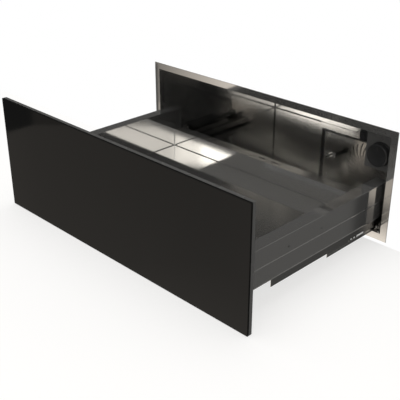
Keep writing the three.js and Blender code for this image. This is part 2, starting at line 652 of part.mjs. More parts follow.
// ---------------------------------------------------------------- control corner
function makeKnob() {
  const back = CONTROL_RECESS - FIT;
  const front = back - KNOB_DEPTH;
  const skirt = KNOB_RADIUS + KNOB_SKIRT;
  const profile = [
    [0, front],
    [KNOB_RADIUS - KNOB_EDGE, front],
    [KNOB_RADIUS - KNOB_EDGE / 3, front + KNOB_EDGE / 3],
    [KNOB_RADIUS, front + KNOB_EDGE],
    [KNOB_RADIUS, back - KNOB_SKIRT_DEPTH],
    [skirt, back - KNOB_SKIRT_DEPTH + KNOB_SKIRT / 2],
    [skirt, back],
    [KNOB_STEM_RADIUS, back],
    [KNOB_STEM_RADIUS, back + KNOB_STEM_LENGTH],
    [0, back + KNOB_STEM_LENGTH],
  ];
  const body = turned(profile, KNOB_X, KNOB_Z, 40);
  const pointer = block(
    KNOB_X - POINTER_WIDTH / 2, KNOB_X + POINTER_WIDTH / 2, front - POINTER_DEPTH,
    front + POINTER_DEPTH, KNOB_Z + POINTER_START, KNOB_Z + skirt);
  return cut(body, pointer);
}

function addControls() {
  const right = LINER_HALF - FIT;
  const left = right - CONTROL_WIDTH;
  const high = LINER_TOP - FIT;
  const low = high - CONTROL_HEIGHT;
  const plateBack = CONTROL_RECESS + CONTROL_SHEET;
  const boxFront = plateBack + FIT;
  const boxBack = boxFront + CONTROL_DEPTH;

  const plate = rectangle(left, right, low, high);
  plate.holes.push(roundPath(KNOB_X, KNOB_Z, KNOB_STEM_RADIUS + STEM_HOLE_PLAY));
  add(chassis, "control_plate", alongY(plate, CONTROL_RECESS, plateBack), DARK_STEEL);

  const walls = frameOutline(left, right, low, high, SHEET);
  const boxSheet = block(left, right, boxBack - SHEET, boxBack, low, high);
  add(chassis, "control_housing", join(alongY(walls, boxFront, boxBack), boxSheet), GALVANISED);

  const half = THERMOSTAT_SIZE / 2;
  const bore = barY(
    KNOB_STEM_RADIUS + FIT, KNOB_X, KNOB_Z, CONTROL_RECESS, boxFront + THERMOSTAT_BORE, 16);
  const thermostat = block(
    KNOB_X - half, KNOB_X + half, boxFront, boxFront + THERMOSTAT_DEPTH,
    KNOB_Z - half, KNOB_Z + half);
  add(chassis, "thermostat_body", cut(thermostat, bore), GREY_PLASTIC);
  add(chassis, "control_knob", makeKnob(), BLACK_PLASTIC);

  const switchRight = left - FIT;
  const switchLeft = switchRight - SWITCH_WIDTH;
  const switchFront = FLANGE_RETURN + 2 * FIT;
  const switchBody = block(
    switchLeft, switchRight, switchFront, switchFront + SWITCH_DEPTH, high - SWITCH_HEIGHT, high);
  const nose = block(
    switchLeft + SWITCH_NOSE_MARGIN, switchRight - SWITCH_NOSE_MARGIN,
    switchFront - SWITCH_NOSE, switchFront + SWITCH_NOSE,
    high - SWITCH_HEIGHT + SWITCH_NOSE_MARGIN, high - SWITCH_HEIGHT / 2);
  add(chassis, "contact_switch", join(switchBody, nose), BLACK_PLASTIC);
}

// ---------------------------------------------------------------- push-to-open catch
function addCatch() {
  const half = CATCH_WIDTH / 2;
  const low = LINER_FLOOR + FIT;
  const high = low + CATCH_HEIGHT;
  const plungerHigh = high - CATCH_ROOF - FIT;
  const plungerLow = plungerHigh - PLUNGER_HEIGHT;
  const tip = CATCH_SETBACK - PLUNGER_REACH;
  const tail = CATCH_SETBACK + PLUNGER_TAIL;
  const body = block(-half, half, CATCH_SETBACK, CATCH_SETBACK + CATCH_LENGTH, low, high);
  const guide = block(
    -PLUNGER_WIDTH / 2 - FIT, PLUNGER_WIDTH / 2 + FIT, CATCH_SETBACK - SHEET,
    tail + PLUNGER_TRAVEL + SHEET, plungerLow - FIT, plungerHigh + FIT);
  add(chassis, "catch_body", cut(body, guide), GREY_PLASTIC);
  add(chassis, "catch_plunger",
    block(-PLUNGER_WIDTH / 2, PLUNGER_WIDTH / 2, tip, tail, plungerLow, plungerHigh), SATIN_STEEL);

  const strikerRear = tip - STRIKER_GAP + SHUT_GAP;
  const strikerHigh = BASE_PAN_LOW - FIT;
  add(drawer, "catch_striker",
    block(-STRIKER_WIDTH / 2, STRIKER_WIDTH / 2, strikerRear - STRIKER_LENGTH, strikerRear,
      OPENING_LOW + STRIKER_LOW, strikerHigh), SATIN_STEEL);
}

// ---------------------------------------------------------------- telescopic runners
// Ball race rolled into a wall: side is +1 on a wall that faces -X, -1 on one that faces +X.
// The groove is an arc about the ball's centre; turn gives the order of its points.
function raceArc(ballSide, ballZ, facing, downwards) {
  const radius = BALL_RADIUS + BALL_PLAY;
  const reach = (CHANNEL_IN - RUNNER_CORE / 2) / 2;
  const spread = Math.acos(reach / radius);
  const middle = facing > 0 ? 0 : Math.PI;
  const sign = (facing > 0 ? 1 : -1) * (downwards ? -1 : 1);
  return arcPoints(
    RUNNER_X + ballSide * BALL_X, ballZ, radius, middle - sign * spread, middle + sign * spread);
}

// Channel with a web at one end and two lips, with a ball race inside each lip.
function channelShape(webZ, lipZ, ballZ) {
  const half = RUNNER_WIDTH / 2;
  const webIn = webZ + Math.sign(lipZ - webZ) * RUNNER_SHEET;
  const up = lipZ > webZ;
  return outline([
    [RUNNER_X - half, lipZ],
    [RUNNER_X - half, webZ],
    [RUNNER_X + half, webZ],
    [RUNNER_X + half, lipZ],
    [RUNNER_X + CHANNEL_IN, lipZ],
    ...raceArc(1, ballZ, 1, up),
    [RUNNER_X + CHANNEL_IN, webIn],
    [RUNNER_X - CHANNEL_IN, webIn],
    ...raceArc(-1, ballZ, -1, !up),
    [RUNNER_X - CHANNEL_IN, lipZ],
  ]);
}

// Middle profile: two legs and a cross web, with four races on the outside.
function middleShape() {
  const half = RUNNER_CORE / 2;
  const inner = half - RUNNER_SHEET;
  const low = MIDDLE_RAIL_FOOT;
  const high = MIDDLE_RAIL_TOP;
  const web = (low + high - RUNNER_SHEET) / 2;
  return outline([
    [RUNNER_X + half, low],
    ...raceArc(1, LOWER_BALL_Z, -1, false),
    ...raceArc(1, UPPER_BALL_Z, -1, false),
    [RUNNER_X + half, high],
    [RUNNER_X + inner, high],
    [RUNNER_X + inner, web + RUNNER_SHEET],
    [RUNNER_X - inner, web + RUNNER_SHEET],
    [RUNNER_X - inner, high],
    [RUNNER_X - half, high],
    ...raceArc(-1, UPPER_BALL_Z, 1, true),
    ...raceArc(-1, LOWER_BALL_Z, 1, true),
    [RUNNER_X - half, low],
    [RUNNER_X - inner, low],
    [RUNNER_X - inner, web],
    [RUNNER_X + inner, web],
    [RUNNER_X + inner, low],
  ]);
}

function makeMiddleRail(front) {
  const rail = alongY(middleShape(), front, front + MIDDLE_RAIL_LENGTH);
  const z = MIDDLE_RAIL_FOOT + PUNCHED_LIFT;
  const x0 = RUNNER_X;
  const x1 = RUNNER_X + RUNNER_CORE;
  const holes = PUNCHED_HOLES.map((y) => barX(PUNCHED_HEIGHT / 2, front + y, z, x0, x1, 10));
  const slot = new THREE.Shape(
    slotPath(front + PUNCHED_SLOT, z, PUNCHED_SLOT_LENGTH, PUNCHED_HEIGHT).getPoints(4));
  return cut(rail, ...holes, alongX(slot, x0, x1));
}

// Ball cage: a channel strip between two profiles, with a row of balls in each leg.
function makeCage(webZ, ballZ, middle) {
  const lift = Math.sign(ballZ - webZ);
  const out = BALL_X + CAGE_SHEET / 2;
  const inside = BALL_X - CAGE_SHEET / 2;
  const lip = ballZ + lift * BALL_RADIUS;
  const strip = outline([
    [RUNNER_X - out, lip],
    [RUNNER_X - out, webZ],
    [RUNNER_X + out, webZ],
    [RUNNER_X + out, lip],
    [RUNNER_X + inside, lip],
    [RUNNER_X + inside, webZ + lift * CAGE_SHEET],
    [RUNNER_X - inside, webZ + lift * CAGE_SHEET],
    [RUNNER_X - inside, lip],
  ]);
  const count = Math.floor((CAGE_LENGTH - BALL_PITCH / 2) / BALL_PITCH) + 1;
  const balls = [-1, 1].flatMap((side) =>
    Array.from({ length: count }, (_, i) => {
      const y = middle + (i - (count - 1) / 2) * BALL_PITCH;
      const ball = new THREE.SphereGeometry(BALL_RADIUS, BALL_SIDES, BALL_RINGS);
      return ball.translate(RUNNER_X + side * BALL_X, y, ballZ);
    }));
  return join(alongY(strip, middle - CAGE_LENGTH / 2, middle + CAGE_LENGTH / 2), ...balls);
}

// Wall angle: a slotted leg on the cavity wall with ears for its screws, and a foot under the rail.
function makeRunnerAngle() {
  const back = FIXED_RAIL_REAR;
  const front = FLANGE_RETURN + ANGLE_CLEAR;
  const outer = LINER_HALF - FIT;
  const footHigh = FIXED_RAIL_FOOT - FIT;
  const footLow = footHigh - RUNNER_SHEET;
  const legHigh = footLow + ANGLE_HEIGHT;
  const earHigh = legHigh + EAR_RISE;
  const ears = EAR_SETBACKS.toReversed().flatMap((y) => [
    [y + EAR_WIDTH / 2, legHigh],
    [y + EAR_WIDTH / 2, earHigh - EAR_CORNER],
    [y + EAR_WIDTH / 2 - EAR_CORNER, earHigh],
    [y - EAR_WIDTH / 2 + EAR_CORNER, earHigh],
    [y - EAR_WIDTH / 2, earHigh - EAR_CORNER],
    [y - EAR_WIDTH / 2, legHigh],
  ]);
  const leg = outline([
    [front, footLow], [back, footLow], [back, legHigh], ...ears, [front, legHigh]]);
  EAR_SETBACKS.forEach((y) => leg.holes.push(roundPath(y, earHigh - EAR_RISE / 2, EAR_HOLE_RADIUS)));
  const pitch = (back - front) / ANGLE_SLOTS;
  for (let i = 0; i < ANGLE_SLOTS; i += 1) {
    const y = front + pitch * (i + 0.5);
    leg.holes.push(slotPath(y, footLow + ANGLE_SLOT_LIFT, ANGLE_SLOT_LENGTH, ANGLE_SLOT_HEIGHT));
  }
  const foot = block(
    RUNNER_X - RUNNER_WIDTH / 2, outer - RUNNER_SHEET / 2, front, back, footLow, footHigh);
  return join(alongX(leg, outer - RUNNER_SHEET, outer), foot);
}

function addRunners() {
  const middleFront = MIDDLE_RAIL_FRONT - TRAVEL / 2;
  const middleBack = middleFront + MIDDLE_RAIL_LENGTH;
  const drawerRailBack = OPEN_SHIFT + RUNNER_SETBACK + DRAWER_RAIL_LENGTH;
  const cageReach = CAGE_CLEAR + CAGE_SHEET;

  const fixedLip = FIXED_RAIL_FOOT + FIXED_RAIL_HEIGHT;
  const fixed = channelShape(FIXED_RAIL_FOOT, fixedLip, LOWER_BALL_Z);
  addPair(chassis, "runner_angle", makeRunnerAngle(), RUNNER_STEEL);
  addPair(chassis, "fixed_rail", alongY(fixed, FIXED_RAIL_FRONT, FIXED_RAIL_REAR), RUNNER_STEEL);
  addPair(chassis, "middle_rail", makeMiddleRail(middleFront), RUNNER_STEEL);
  const lowerMiddle = (FIXED_RAIL_FRONT + middleBack) / 2;
  const upperMiddle = (middleFront + drawerRailBack) / 2;
  addPair(chassis, "lower_ball_cage",
    makeCage(MIDDLE_RAIL_FOOT - cageReach, LOWER_BALL_Z, lowerMiddle), SATIN_STEEL);
  addPair(chassis, "upper_ball_cage",
    makeCage(MIDDLE_RAIL_TOP + cageReach, UPPER_BALL_Z, upperMiddle), SATIN_STEEL);

  const channelLip = DRAWER_RAIL_TOP - DRAWER_RAIL_HEIGHT;
  const channel = channelShape(DRAWER_RAIL_TOP, channelLip, UPPER_BALL_Z);
  addPair(drawer, "drawer_rail",
    alongY(channel, RUNNER_SETBACK, RUNNER_SETBACK + DRAWER_RAIL_LENGTH), RUNNER_STEEL);
}

// ---------------------------------------------------------------- drawer
function makeTray() {
  const outer = TRAY_HALF + SHEET;
  const front = TRAY_SETBACK - SHEET;
  const rear = TRAY_REAR + SHEET;
  const low = TRAY_FLOOR - SHEET;
  const high = SIDE_TOP - SHEET - FIT;
  const wall = block(TRAY_HALF, outer, front, rear, low, high);
  const wing = block(TRAY_HALF, outer, TRAY_REAR, DRAWER_REAR, LEDGE_TOP - LEDGE_FOLD, high);
  const across = SHEET - 2 * outer;
  return join(
    block(-outer, outer, front, rear, low, TRAY_FLOOR),
    wall,
    wing,
    wall.clone().translate(across, 0, 0),
    wing.clone().translate(across, 0, 0),
    block(-outer, outer, front, TRAY_SETBACK, low, high),
    block(-outer, outer, TRAY_REAR, rear, low, LEDGE_TOP - SHEET - FIT),
  );
}

// Side shell: rim, outer skin with two pressed beads, and a web that sits on the runner.
function makeSideShell() {
  const bead = (z) => arcPoints(SIDE_HALF, z, BEAD_RADIUS, Math.PI / 2, -Math.PI / 2);
  const corner = arcPoints(SIDE_HALF - RIM_RADIUS, SIDE_TOP - RIM_RADIUS, RIM_RADIUS, Math.PI / 2, 0);
  const section = outline([
    [TRAY_HALF, SIDE_TOP - SHEET],
    [TRAY_HALF, SIDE_TOP],
    ...corner,
    ...bead(BEAD_HEIGHT),
    ...bead(SIDE_BOTTOM + SHEET),
    [SIDE_HALF, SIDE_BOTTOM],
    [TRAY_HALF + SHEET + FIT, SIDE_BOTTOM],
    [TRAY_HALF + SHEET + FIT, SIDE_BOTTOM + SHEET],
    [SIDE_HALF - SHEET, SIDE_BOTTOM + SHEET],
    [SIDE_HALF - SHEET, SIDE_TOP - SHEET],
  ]);
  const holes = SIDE_HOLE_SETBACKS.map((y) =>
    barX(SIDE_HOLE_RADIUS, y, SIDE_HOLE_HEIGHT, SIDE_HALF - 2 * SHEET, SIDE_HALF + SHEET, 10));
  return cut(alongY(section, FIT, DRAWER_REAR), ...holes);
}

// Rear ledge: a folded strip with air vents and a slit, lower than the drawer sides.
function makeRearLedge() {
  const half = TRAY_HALF - FIT;
  const strip = rectangle(-half, half, TRAY_REAR, DRAWER_REAR);
  const middle = TRAY_REAR + LEDGE_DEPTH / 2;
  for (let i = 0; i < VENT_COUNT; i += 1) {
    strip.holes.push(slotPath(VENT_START + i * VENT_PITCH, middle, VENT_LENGTH, VENT_WIDTH));
  }
  const margin = 2 * SHEET;
  strip.holes.push(rectangle(
    SEAM_OFFSET, SEAM_OFFSET + SEAM_WIDTH, TRAY_REAR + margin, DRAWER_REAR - margin));
  const fold = block(
    -half, half, DRAWER_REAR - SHEET, DRAWER_REAR, LEDGE_TOP - LEDGE_FOLD, LEDGE_TOP);
  return join(alongZ(strip, LEDGE_TOP - SHEET, LEDGE_TOP), fold);
}

function makeFrontFrame() {
  const half = FRONT_WIDTH / 2;
  const low = -FRONT_DROP;
  const high = FRONT_HEIGHT - FRONT_DROP;
  const edge = frameOutline(-half, half, low, high, FRONT_SHEET);
  const rib = block(
    RIB_X - RIB_WIDTH / 2, RIB_X + RIB_WIDTH / 2, -FRONT_FRAME_THICK, -FRONT_SHEET / 2,
    low + RIB_MARGIN, high - RIB_MARGIN);
  return join(
    block(-half, half, -FRONT_SHEET, 0, low, high),
    alongY(edge, -FRONT_FRAME_THICK, 0),
    rib,
    rib.clone().translate(-2 * RIB_X, 0, 0),
  );
}

function makeGlass() {
  const half = FRONT_WIDTH / 2 - GLASS_CHAMFER;
  const face = rectangle(
    -half, half, GLASS_CHAMFER - FRONT_DROP, FRONT_HEIGHT - FRONT_DROP - GLASS_CHAMFER);
  const pane = new THREE.ExtrudeGeometry(face, {
    depth: GLASS_THICK - 2 * GLASS_CHAMFER,
    bevelThickness: GLASS_CHAMFER,
    bevelSize: GLASS_CHAMFER,
    bevelSegments: 1,
  });
  const back = -FRONT_FRAME_THICK - FIT;
  return pane.rotateX(Math.PI / 2).translate(0, back - GLASS_CHAMFER, 0);
}

// Folded bracket in the hollow of each side, screwed to the panel's frame.
function makeFrontBracket() {
  const outer = SIDE_HALF - SHEET - FIT;
  const inner = TRAY_HALF + SHEET + BRACKET_INSET;
  const low = SIDE_BOTTOM + SHEET + BRACKET_MARGIN;
  const high = SIDE_TOP - SHEET - BRACKET_MARGIN;
  return join(
    block(inner, outer, FIT, FIT + BRACKET_SHEET, low, high),
    block(outer - BRACKET_SHEET, outer, FIT, BRACKET_LENGTH, low, high),
  );
}

function addDrawer() {
  add(drawer, "front_glass", makeGlass(), BLACK_GLASS);
  add(drawer, "front_frame", makeFrontFrame(), DARK_STEEL);
  add(drawer, "tray_pan", makeTray(), MIRROR_STEEL);
  addPair(drawer, "side_shell", makeSideShell(), MIRROR_STEEL);
  addPair(drawer, "front_bracket", makeFrontBracket(), GALVANISED);

  const rimHalf = TRAY_HALF - FIT;
  const rim = join(
    block(-rimHalf, rimHalf, FIT, TRAY_SETBACK, SIDE_TOP - SHEET, SIDE_TOP),
    block(-rimHalf, rimHalf, FIT, FIT + SHEET, SIDE_BOTTOM, SIDE_TOP),
  );
  add(drawer, "front_rim", rim, MIRROR_STEEL);
  add(drawer, "rear_ledge", makeRearLedge(), MIRROR_STEEL);

  const panHalf = TRAY_HALF - BASE_PAN_MARGIN;
  const panFront = TRAY_SETBACK + BASE_PAN_MARGIN;
  const panRear = TRAY_REAR - BASE_PAN_MARGIN;
  const panHigh = BASE_PAN_LOW + BASE_PAN_DEEP;
  const pan = join(
    block(-panHalf, panHalf, panFront, panRear, BASE_PAN_LOW, BASE_PAN_LOW + SHEET),
    alongZ(frameOutline(-panHalf, panHalf, panFront, panRear, SHEET), BASE_PAN_LOW, panHigh),
  );
  add(drawer, "base_pan", pan, GALVANISED);

  const heaterFront = TRAY_SETBACK + (TRAY_DEPTH - HEATER_DEPTH) / 2;
  const heaterLow = panHigh - HEATER_THICK;
  add(drawer, "heater_pad",
    block(-HEATER_WIDTH / 2, HEATER_WIDTH / 2, heaterFront, heaterFront + HEATER_DEPTH,
      heaterLow, panHigh), HEATER_FOIL);
  const battMargin = SHEET + FIT;
  add(drawer, "heater_insulation",
    block(-panHalf + battMargin, panHalf - battMargin, panFront + battMargin, panRear - battMargin,
      BASE_PAN_LOW + SHEET + FIT, heaterLow - FIT), WOOL);

  addPair(drawer, "front_bumper",
    barY(BUMPER_RADIUS, FRONT_WIDTH / 2 - BUMPER_INSET, BUMPER_HEIGHT, FIT, SHUT_GAP - FIT, 16),
    RUBBER);
}

addCasing();
addLiner();
addFan();
addControls();
addCatch();
addRunners();
addDrawer();

export default part;
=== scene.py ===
"""Looks of a built-in warming drawer that is pulled open: finishes, fine pieces, studio and camera.

Lengths are in metres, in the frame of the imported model: +X right, +Y into the cabinet, +Z up.
"""

from __future__ import annotations

import json
import logging
import math
from dataclasses import dataclass, field
from enum import Enum
from typing import Callable, Iterable, Sequence, Union

import bmesh
import bpy
from mathutils import Matrix, Vector

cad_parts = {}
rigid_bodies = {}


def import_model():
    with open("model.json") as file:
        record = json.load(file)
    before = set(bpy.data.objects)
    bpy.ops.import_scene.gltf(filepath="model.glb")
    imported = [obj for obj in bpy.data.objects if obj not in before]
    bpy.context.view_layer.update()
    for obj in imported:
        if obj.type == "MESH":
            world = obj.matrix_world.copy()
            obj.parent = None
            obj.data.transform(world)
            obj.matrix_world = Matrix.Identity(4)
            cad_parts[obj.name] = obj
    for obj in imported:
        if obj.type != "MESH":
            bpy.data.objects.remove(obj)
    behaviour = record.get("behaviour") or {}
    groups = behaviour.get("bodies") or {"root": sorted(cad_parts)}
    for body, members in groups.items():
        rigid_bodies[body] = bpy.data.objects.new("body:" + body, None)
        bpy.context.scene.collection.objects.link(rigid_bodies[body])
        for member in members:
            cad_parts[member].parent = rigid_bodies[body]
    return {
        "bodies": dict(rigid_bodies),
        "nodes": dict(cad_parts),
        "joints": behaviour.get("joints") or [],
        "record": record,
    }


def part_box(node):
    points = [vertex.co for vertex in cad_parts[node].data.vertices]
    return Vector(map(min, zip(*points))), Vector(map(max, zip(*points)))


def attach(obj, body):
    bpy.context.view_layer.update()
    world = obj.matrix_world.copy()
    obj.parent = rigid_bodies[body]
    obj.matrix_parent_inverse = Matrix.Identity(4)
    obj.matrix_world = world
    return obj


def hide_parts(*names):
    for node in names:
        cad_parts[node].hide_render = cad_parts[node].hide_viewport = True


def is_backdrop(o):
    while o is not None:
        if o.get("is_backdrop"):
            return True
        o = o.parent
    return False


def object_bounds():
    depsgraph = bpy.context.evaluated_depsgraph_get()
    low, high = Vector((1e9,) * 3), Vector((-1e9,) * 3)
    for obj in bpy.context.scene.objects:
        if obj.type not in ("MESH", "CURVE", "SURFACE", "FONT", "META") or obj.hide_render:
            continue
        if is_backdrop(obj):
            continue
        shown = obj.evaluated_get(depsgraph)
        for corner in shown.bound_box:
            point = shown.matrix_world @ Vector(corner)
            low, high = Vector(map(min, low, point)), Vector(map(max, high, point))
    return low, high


logging.basicConfig(level=logging.INFO, format="%(name)s: %(message)s")
LOG = logging.getLogger("warming_drawer")

MM = 0.001
PLAIN_SHARP, CURVED_SHARP = 35.0, 50.0  # degrees above which an edge stays sharp
UP, DOWN = Vector((0, 0, 1)), Vector((0, 0, -1))
INTO, OUT = Vector((0, 1, 0)), Vector((0, -1, 0))
Colour = tuple[float, float, float]
Value = Union["Sock", float, Sequence[float]]
Inputs = dict[Union[str, int], Value]
Pair = tuple[float, float]
Outline = list[Pair]
Ring = list[Vector]
Fold = tuple[Vector, Vector, Vector, Vector]


# ------------------------------------------------------------------ shader nodes
class Sock:
    """An output socket that takes part in sums and products, so shader maths reads as maths."""

    def __init__(self, shader: Shader, socket: bpy.types.NodeSocket) -> None:
        """Wraps a socket.

        Args:
            shader: the nodes being built.
            socket: the output that this value comes from.
        """
        self.shader = shader
        self.socket = socket

    def _math(self, operation: str, left: Value, right: Value) -> Sock:
        """A Math node's result on two values."""
        return self.shader.node("ShaderNodeMath", {0: left, 1: right}, operation=operation)

    def __add__(self, other: Value) -> Sock:
        """This value plus another."""
        return self._math("ADD", self, other)

    def __radd__(self, other: Value) -> Sock:
        """Another value plus this one."""
        return self._math("ADD", other, self)

    def __sub__(self, other: Value) -> Sock:
        """This value less another."""
        return self._math("SUBTRACT", self, other)

    def __rsub__(self, other: Value) -> Sock:
        """Another value less this one."""
        return self._math("SUBTRACT", other, self)

    def __mul__(self, other: Value) -> Sock:
        """This value times another."""
        return self._math("MULTIPLY", self, other)

    def __rmul__(self, other: Value) -> Sock:
        """Another value times this one."""
        return self._math("MULTIPLY", other, self)

    def above(self, level: float) -> Sock:
        """One where this value is more than a level, and zero elsewhere."""
        return self._math("GREATER_THAN", self, level)

    def either(self, other: Value) -> Sock:
        """The larger of this value and another."""
        return self._math("MAXIMUM", self, other)

    def spread(self, low: float, high: float, to_low: float = 0.0, to_high: float = 1.0) -> Sock:
        """Maps a range of this value onto another, held at its ends.

        Args:
            low: the value that gives to_low.
            high: the value that gives to_high.
            to_low: the result at the low end.
            to_high: the result at the high end.

        Returns:
            The mapped value.
        """
        ends = {"From Min": low, "From Max": high, "To Min": to_low, "To Max": to_high}
        return self.shader.node("ShaderNodeMapRange", {"Value": self, **ends})


class Shader:
    """The nodes of a material or of the world."""

    def __init__(self, owner: bpy.types.Material | bpy.types.World) -> None:
        """Clears the owner's nodes and adds an output.

        Args:
            owner: the material or world.
        """
        owner.use_nodes = True
        self.owner = owner
        self.tree = owner.node_tree
        self.tree.nodes.clear()
        kind = "World" if isinstance(owner, bpy.types.World) else "Material"
        self.output = self.tree.nodes.new(f"ShaderNodeOutput{kind}")

    def node(self, kind: str, inputs: Inputs | None = None, out: int | str = 0,
             **settings: object) -> Sock:
        """Adds any node.

        Args:
            kind: the node's type name.
            inputs: socket names or places, each with a number, a colour or a Sock.
            out: the output wanted.
            settings: the node's own settings, which are set first.

        Returns:
            The output, ready for shader maths.
        """
        made = self.tree.nodes.new(kind)
        for name, value in settings.items():
            setattr(made, name, value)
        self.fill(made, inputs or {})
        return Sock(self, made.outputs[out])

    def fill(self, node: bpy.types.Node, inputs: Inputs) -> None:
        """Links Socks to a node's inputs, or sets the inputs' own values.

        Args:
            node: the node.
            inputs: socket names or places, and what they get.
        """
        for name, value in inputs.items():
            target = node.inputs[name]
            if isinstance(value, Sock):
                self.tree.links.new(value.socket, target)
            elif isinstance(value, (int, float)):
                target.default_value = value
            else:
                values = tuple(value)
                opaque = (1.0,) * (len(target.default_value) - len(values))
                target.default_value = values + opaque

    def show(self, surface: Sock) -> None:
        """Makes a surface or background the one that is seen."""
        self.fill(self.output, {"Surface": surface})

    def place(self, scale: Sequence[float] = (1.0, 1.0, 1.0)) -> Sock:
        """Object coordinates, stretched along each axis by a factor."""
        coordinates = self.node("ShaderNodeTexCoord", out="Object")
        return self.node("ShaderNodeMapping", {"Vector": coordinates, "Scale": scale})

    def noise(self, size: float, detail: float = 3.0, stretch: Sequence[float] = (1, 1, 1)) -> Sock:
        """Smooth noise.

        Args:
            size: about how wide its blotches are.
            detail: octaves of finer noise.
            stretch: factor along each axis; a small one draws the blotches out.

        Returns:
            A value round 0.5.
        """
        inputs = {"Vector": self.place(stretch), "Scale": 1.0 / size, "Detail": detail}
        return self.node("ShaderNodeTexNoise", inputs)

    def cells(self, size: float, out: str = "Distance") -> Sock:
        """Voronoi cells.

        Args:
            size: about how wide a cell is.
            out: the output wanted.

        Returns:
            The cells' value or colour.
        """
        inputs = {"Vector": self.place(), "Scale": 1.0 / size}
        return self.node("ShaderNodeTexVoronoi", inputs, out=out)

    def blend(self, amount: Value, low: Value, high: Value) -> Sock:
        """Mixes two colours.

        Args:
            amount: zero gives low and one gives high.
            low: the first colour.
            high: the second colour.

        Returns:
            The mixed colour.
        """
        inputs = {"Factor": amount, 6: low, 7: high}
        return self.node("ShaderNodeMix", inputs, out=2, data_type="RGBA")

    def bump(self, height: Value, depth: float, strength: float = 1.0) -> Sock:
        """A bumped normal.

        Args:
            height: zero to one.
            depth: how deep one is.
            strength: how much of it shows.

        Returns:
            The normal.
        """
        inputs = {"Height": height, "Distance": depth, "Strength": strength}
        return self.node("ShaderNodeBump", inputs)

    def emission(self, colour: Value, strength: float = 1.0) -> Sock:
        """A surface that only glows, in a colour and with a strength."""
        return self.node("ShaderNodeEmission", {"Color": colour, "Strength": strength})


# ------------------------------------------------------------------ finishes
@dataclass(frozen=True)
class Finish:
    """A surface finish: its colour, gloss and fine structure."""

    name: str
    colour: Colour
    roughness: float
    metallic: float = 0.0

    def material(self) -> bpy.types.Material:
        """Makes the finish's material.

        Returns:
            The new material.
        """
        shader = Shader(bpy.data.materials.new(self.name))
        plain = {"Base Color": self.colour, "Roughness": self.roughness, "Metallic": self.metallic}
        surface = shader.node("ShaderNodeBsdfPrincipled", plain)
        shader.fill(surface.socket.node, self.structure(shader))
        shader.show(surface)
        return shader.owner

    def structure(self, shader: Shader) -> Inputs:
        """What changes over the surface, and the finish's own settings.

        Args:
            shader: the material being made.

        Returns:
            Inputs of the surface.
        """
        raise NotImplementedError

    def shades(self, shader: Shader, amount: Value, swing: float) -> Sock:
        """The finish's colour, a little darker or lighter from place to place.

        Args:
            shader: the material being made.
            amount: zero is darkest and one lightest.
            swing: share of the colour either way.

        Returns:
            The varied colour.
        """
        dark = tuple(channel * (1 - swing) for channel in self.colour)
        light = tuple(min(1.0, channel * (1 + swing)) for channel in self.colour)
        return shader.blend(amount, dark, light)


@dataclass(frozen=True)
class PolishedSteel(Finish):
    """Polished sheet with faint wiping marks and hairline scratches along Y."""

    metallic: float = 1.0
    smudge: float = 0.02
    smudge_size: float = 0.09
    hairline: float = 0.01
    hairline_width: float = 0.0012
    tint: float = 0.03
    tint_size: float = 0.2
    ripple: float = 0.000002
    ripple_size: float = 0.35

    def structure(self, shader: Shader) -> Inputs:
        """Smudges and hairlines in the gloss, and the sheet's slow ripple.

        Args:
            shader: the material being made.

        Returns:
            Inputs of the surface.
        """
        wiped = shader.noise(self.smudge_size, 5, (1, 0.35, 1)).spread(0.42, 0.75)
        hairlines = shader.noise(self.hairline_width, 2, (1, 0.02, 1)).spread(0.6, 0.72)
        return {
            "Base Color": self.shades(shader, shader.noise(self.tint_size, 2), self.tint),
            "Roughness": self.roughness + wiped * self.smudge + hairlines * self.hairline,
            "Normal": shader.bump(shader.noise(self.ripple_size, 1), self.ripple),
        }


@dataclass(frozen=True)
class CoatedSteel(Finish):
    """Dark coat with a slight orange peel."""

    wiping: float = 0.06
    wiping_size: float = 0.12
    speck: float = 0.02
    speck_size: float = 0.0035
    tint: float = 0.06
    tint_size: float = 0.15
    peel: float = 0.00001
    peel_size: float = 0.0022

    def structure(self, shader: Shader) -> Inputs:
        """Soft wiping marks and dust specks in the gloss, and the coat's peel.

        Args:
            shader: the material being made.

        Returns:
            Inputs of the surface.
        """
        wiped = shader.noise(self.wiping_size, 4).spread(0.4, 0.8)
        specks = shader.cells(self.speck_size).spread(0.05, 0.12, 1.0, 0.0)
        return {
            "Base Color": self.shades(shader, shader.noise(self.tint_size), self.tint),
            "Roughness": self.roughness + wiped * self.wiping + specks * self.speck,
            "Normal": shader.bump(shader.noise(self.peel_size, 2), self.peel),
        }


@dataclass(frozen=True)
class GalvanisedSteel(Finish):
    """Zinc-coated sheet with its spangle."""

    spangle: float = 0.011
    spangle_gloss: float = 0.12
    bloom_size: float = 0.05
    bloom_gloss: float = 0.1
    tint: float = 0.14
    grit: float = 0.00001
    grit_size: float = 0.0015

    def structure(self, shader: Shader) -> Inputs:
        """The crystals of the zinc, each with its own shade and gloss, under a pale bloom.

        Args:
            shader: the material being made.

        Returns:
            Inputs of the surface.
        """
        crystals = shader.cells(self.spangle, out="Color")
        shade = shader.node("ShaderNodeSeparateColor", {0: crystals}, out="Red")
        bloom = shader.noise(self.bloom_size, 4).spread(0.45, 0.8)
        gloss = self.roughness + shade * self.spangle_gloss + bloom * self.bloom_gloss
        return {
            "Base Color": self.shades(shader, shade * 0.7 + bloom * 0.3, self.tint),
            "Roughness": gloss,
            "Normal": shader.bump(shader.noise(self.grit_size), self.grit),
        }


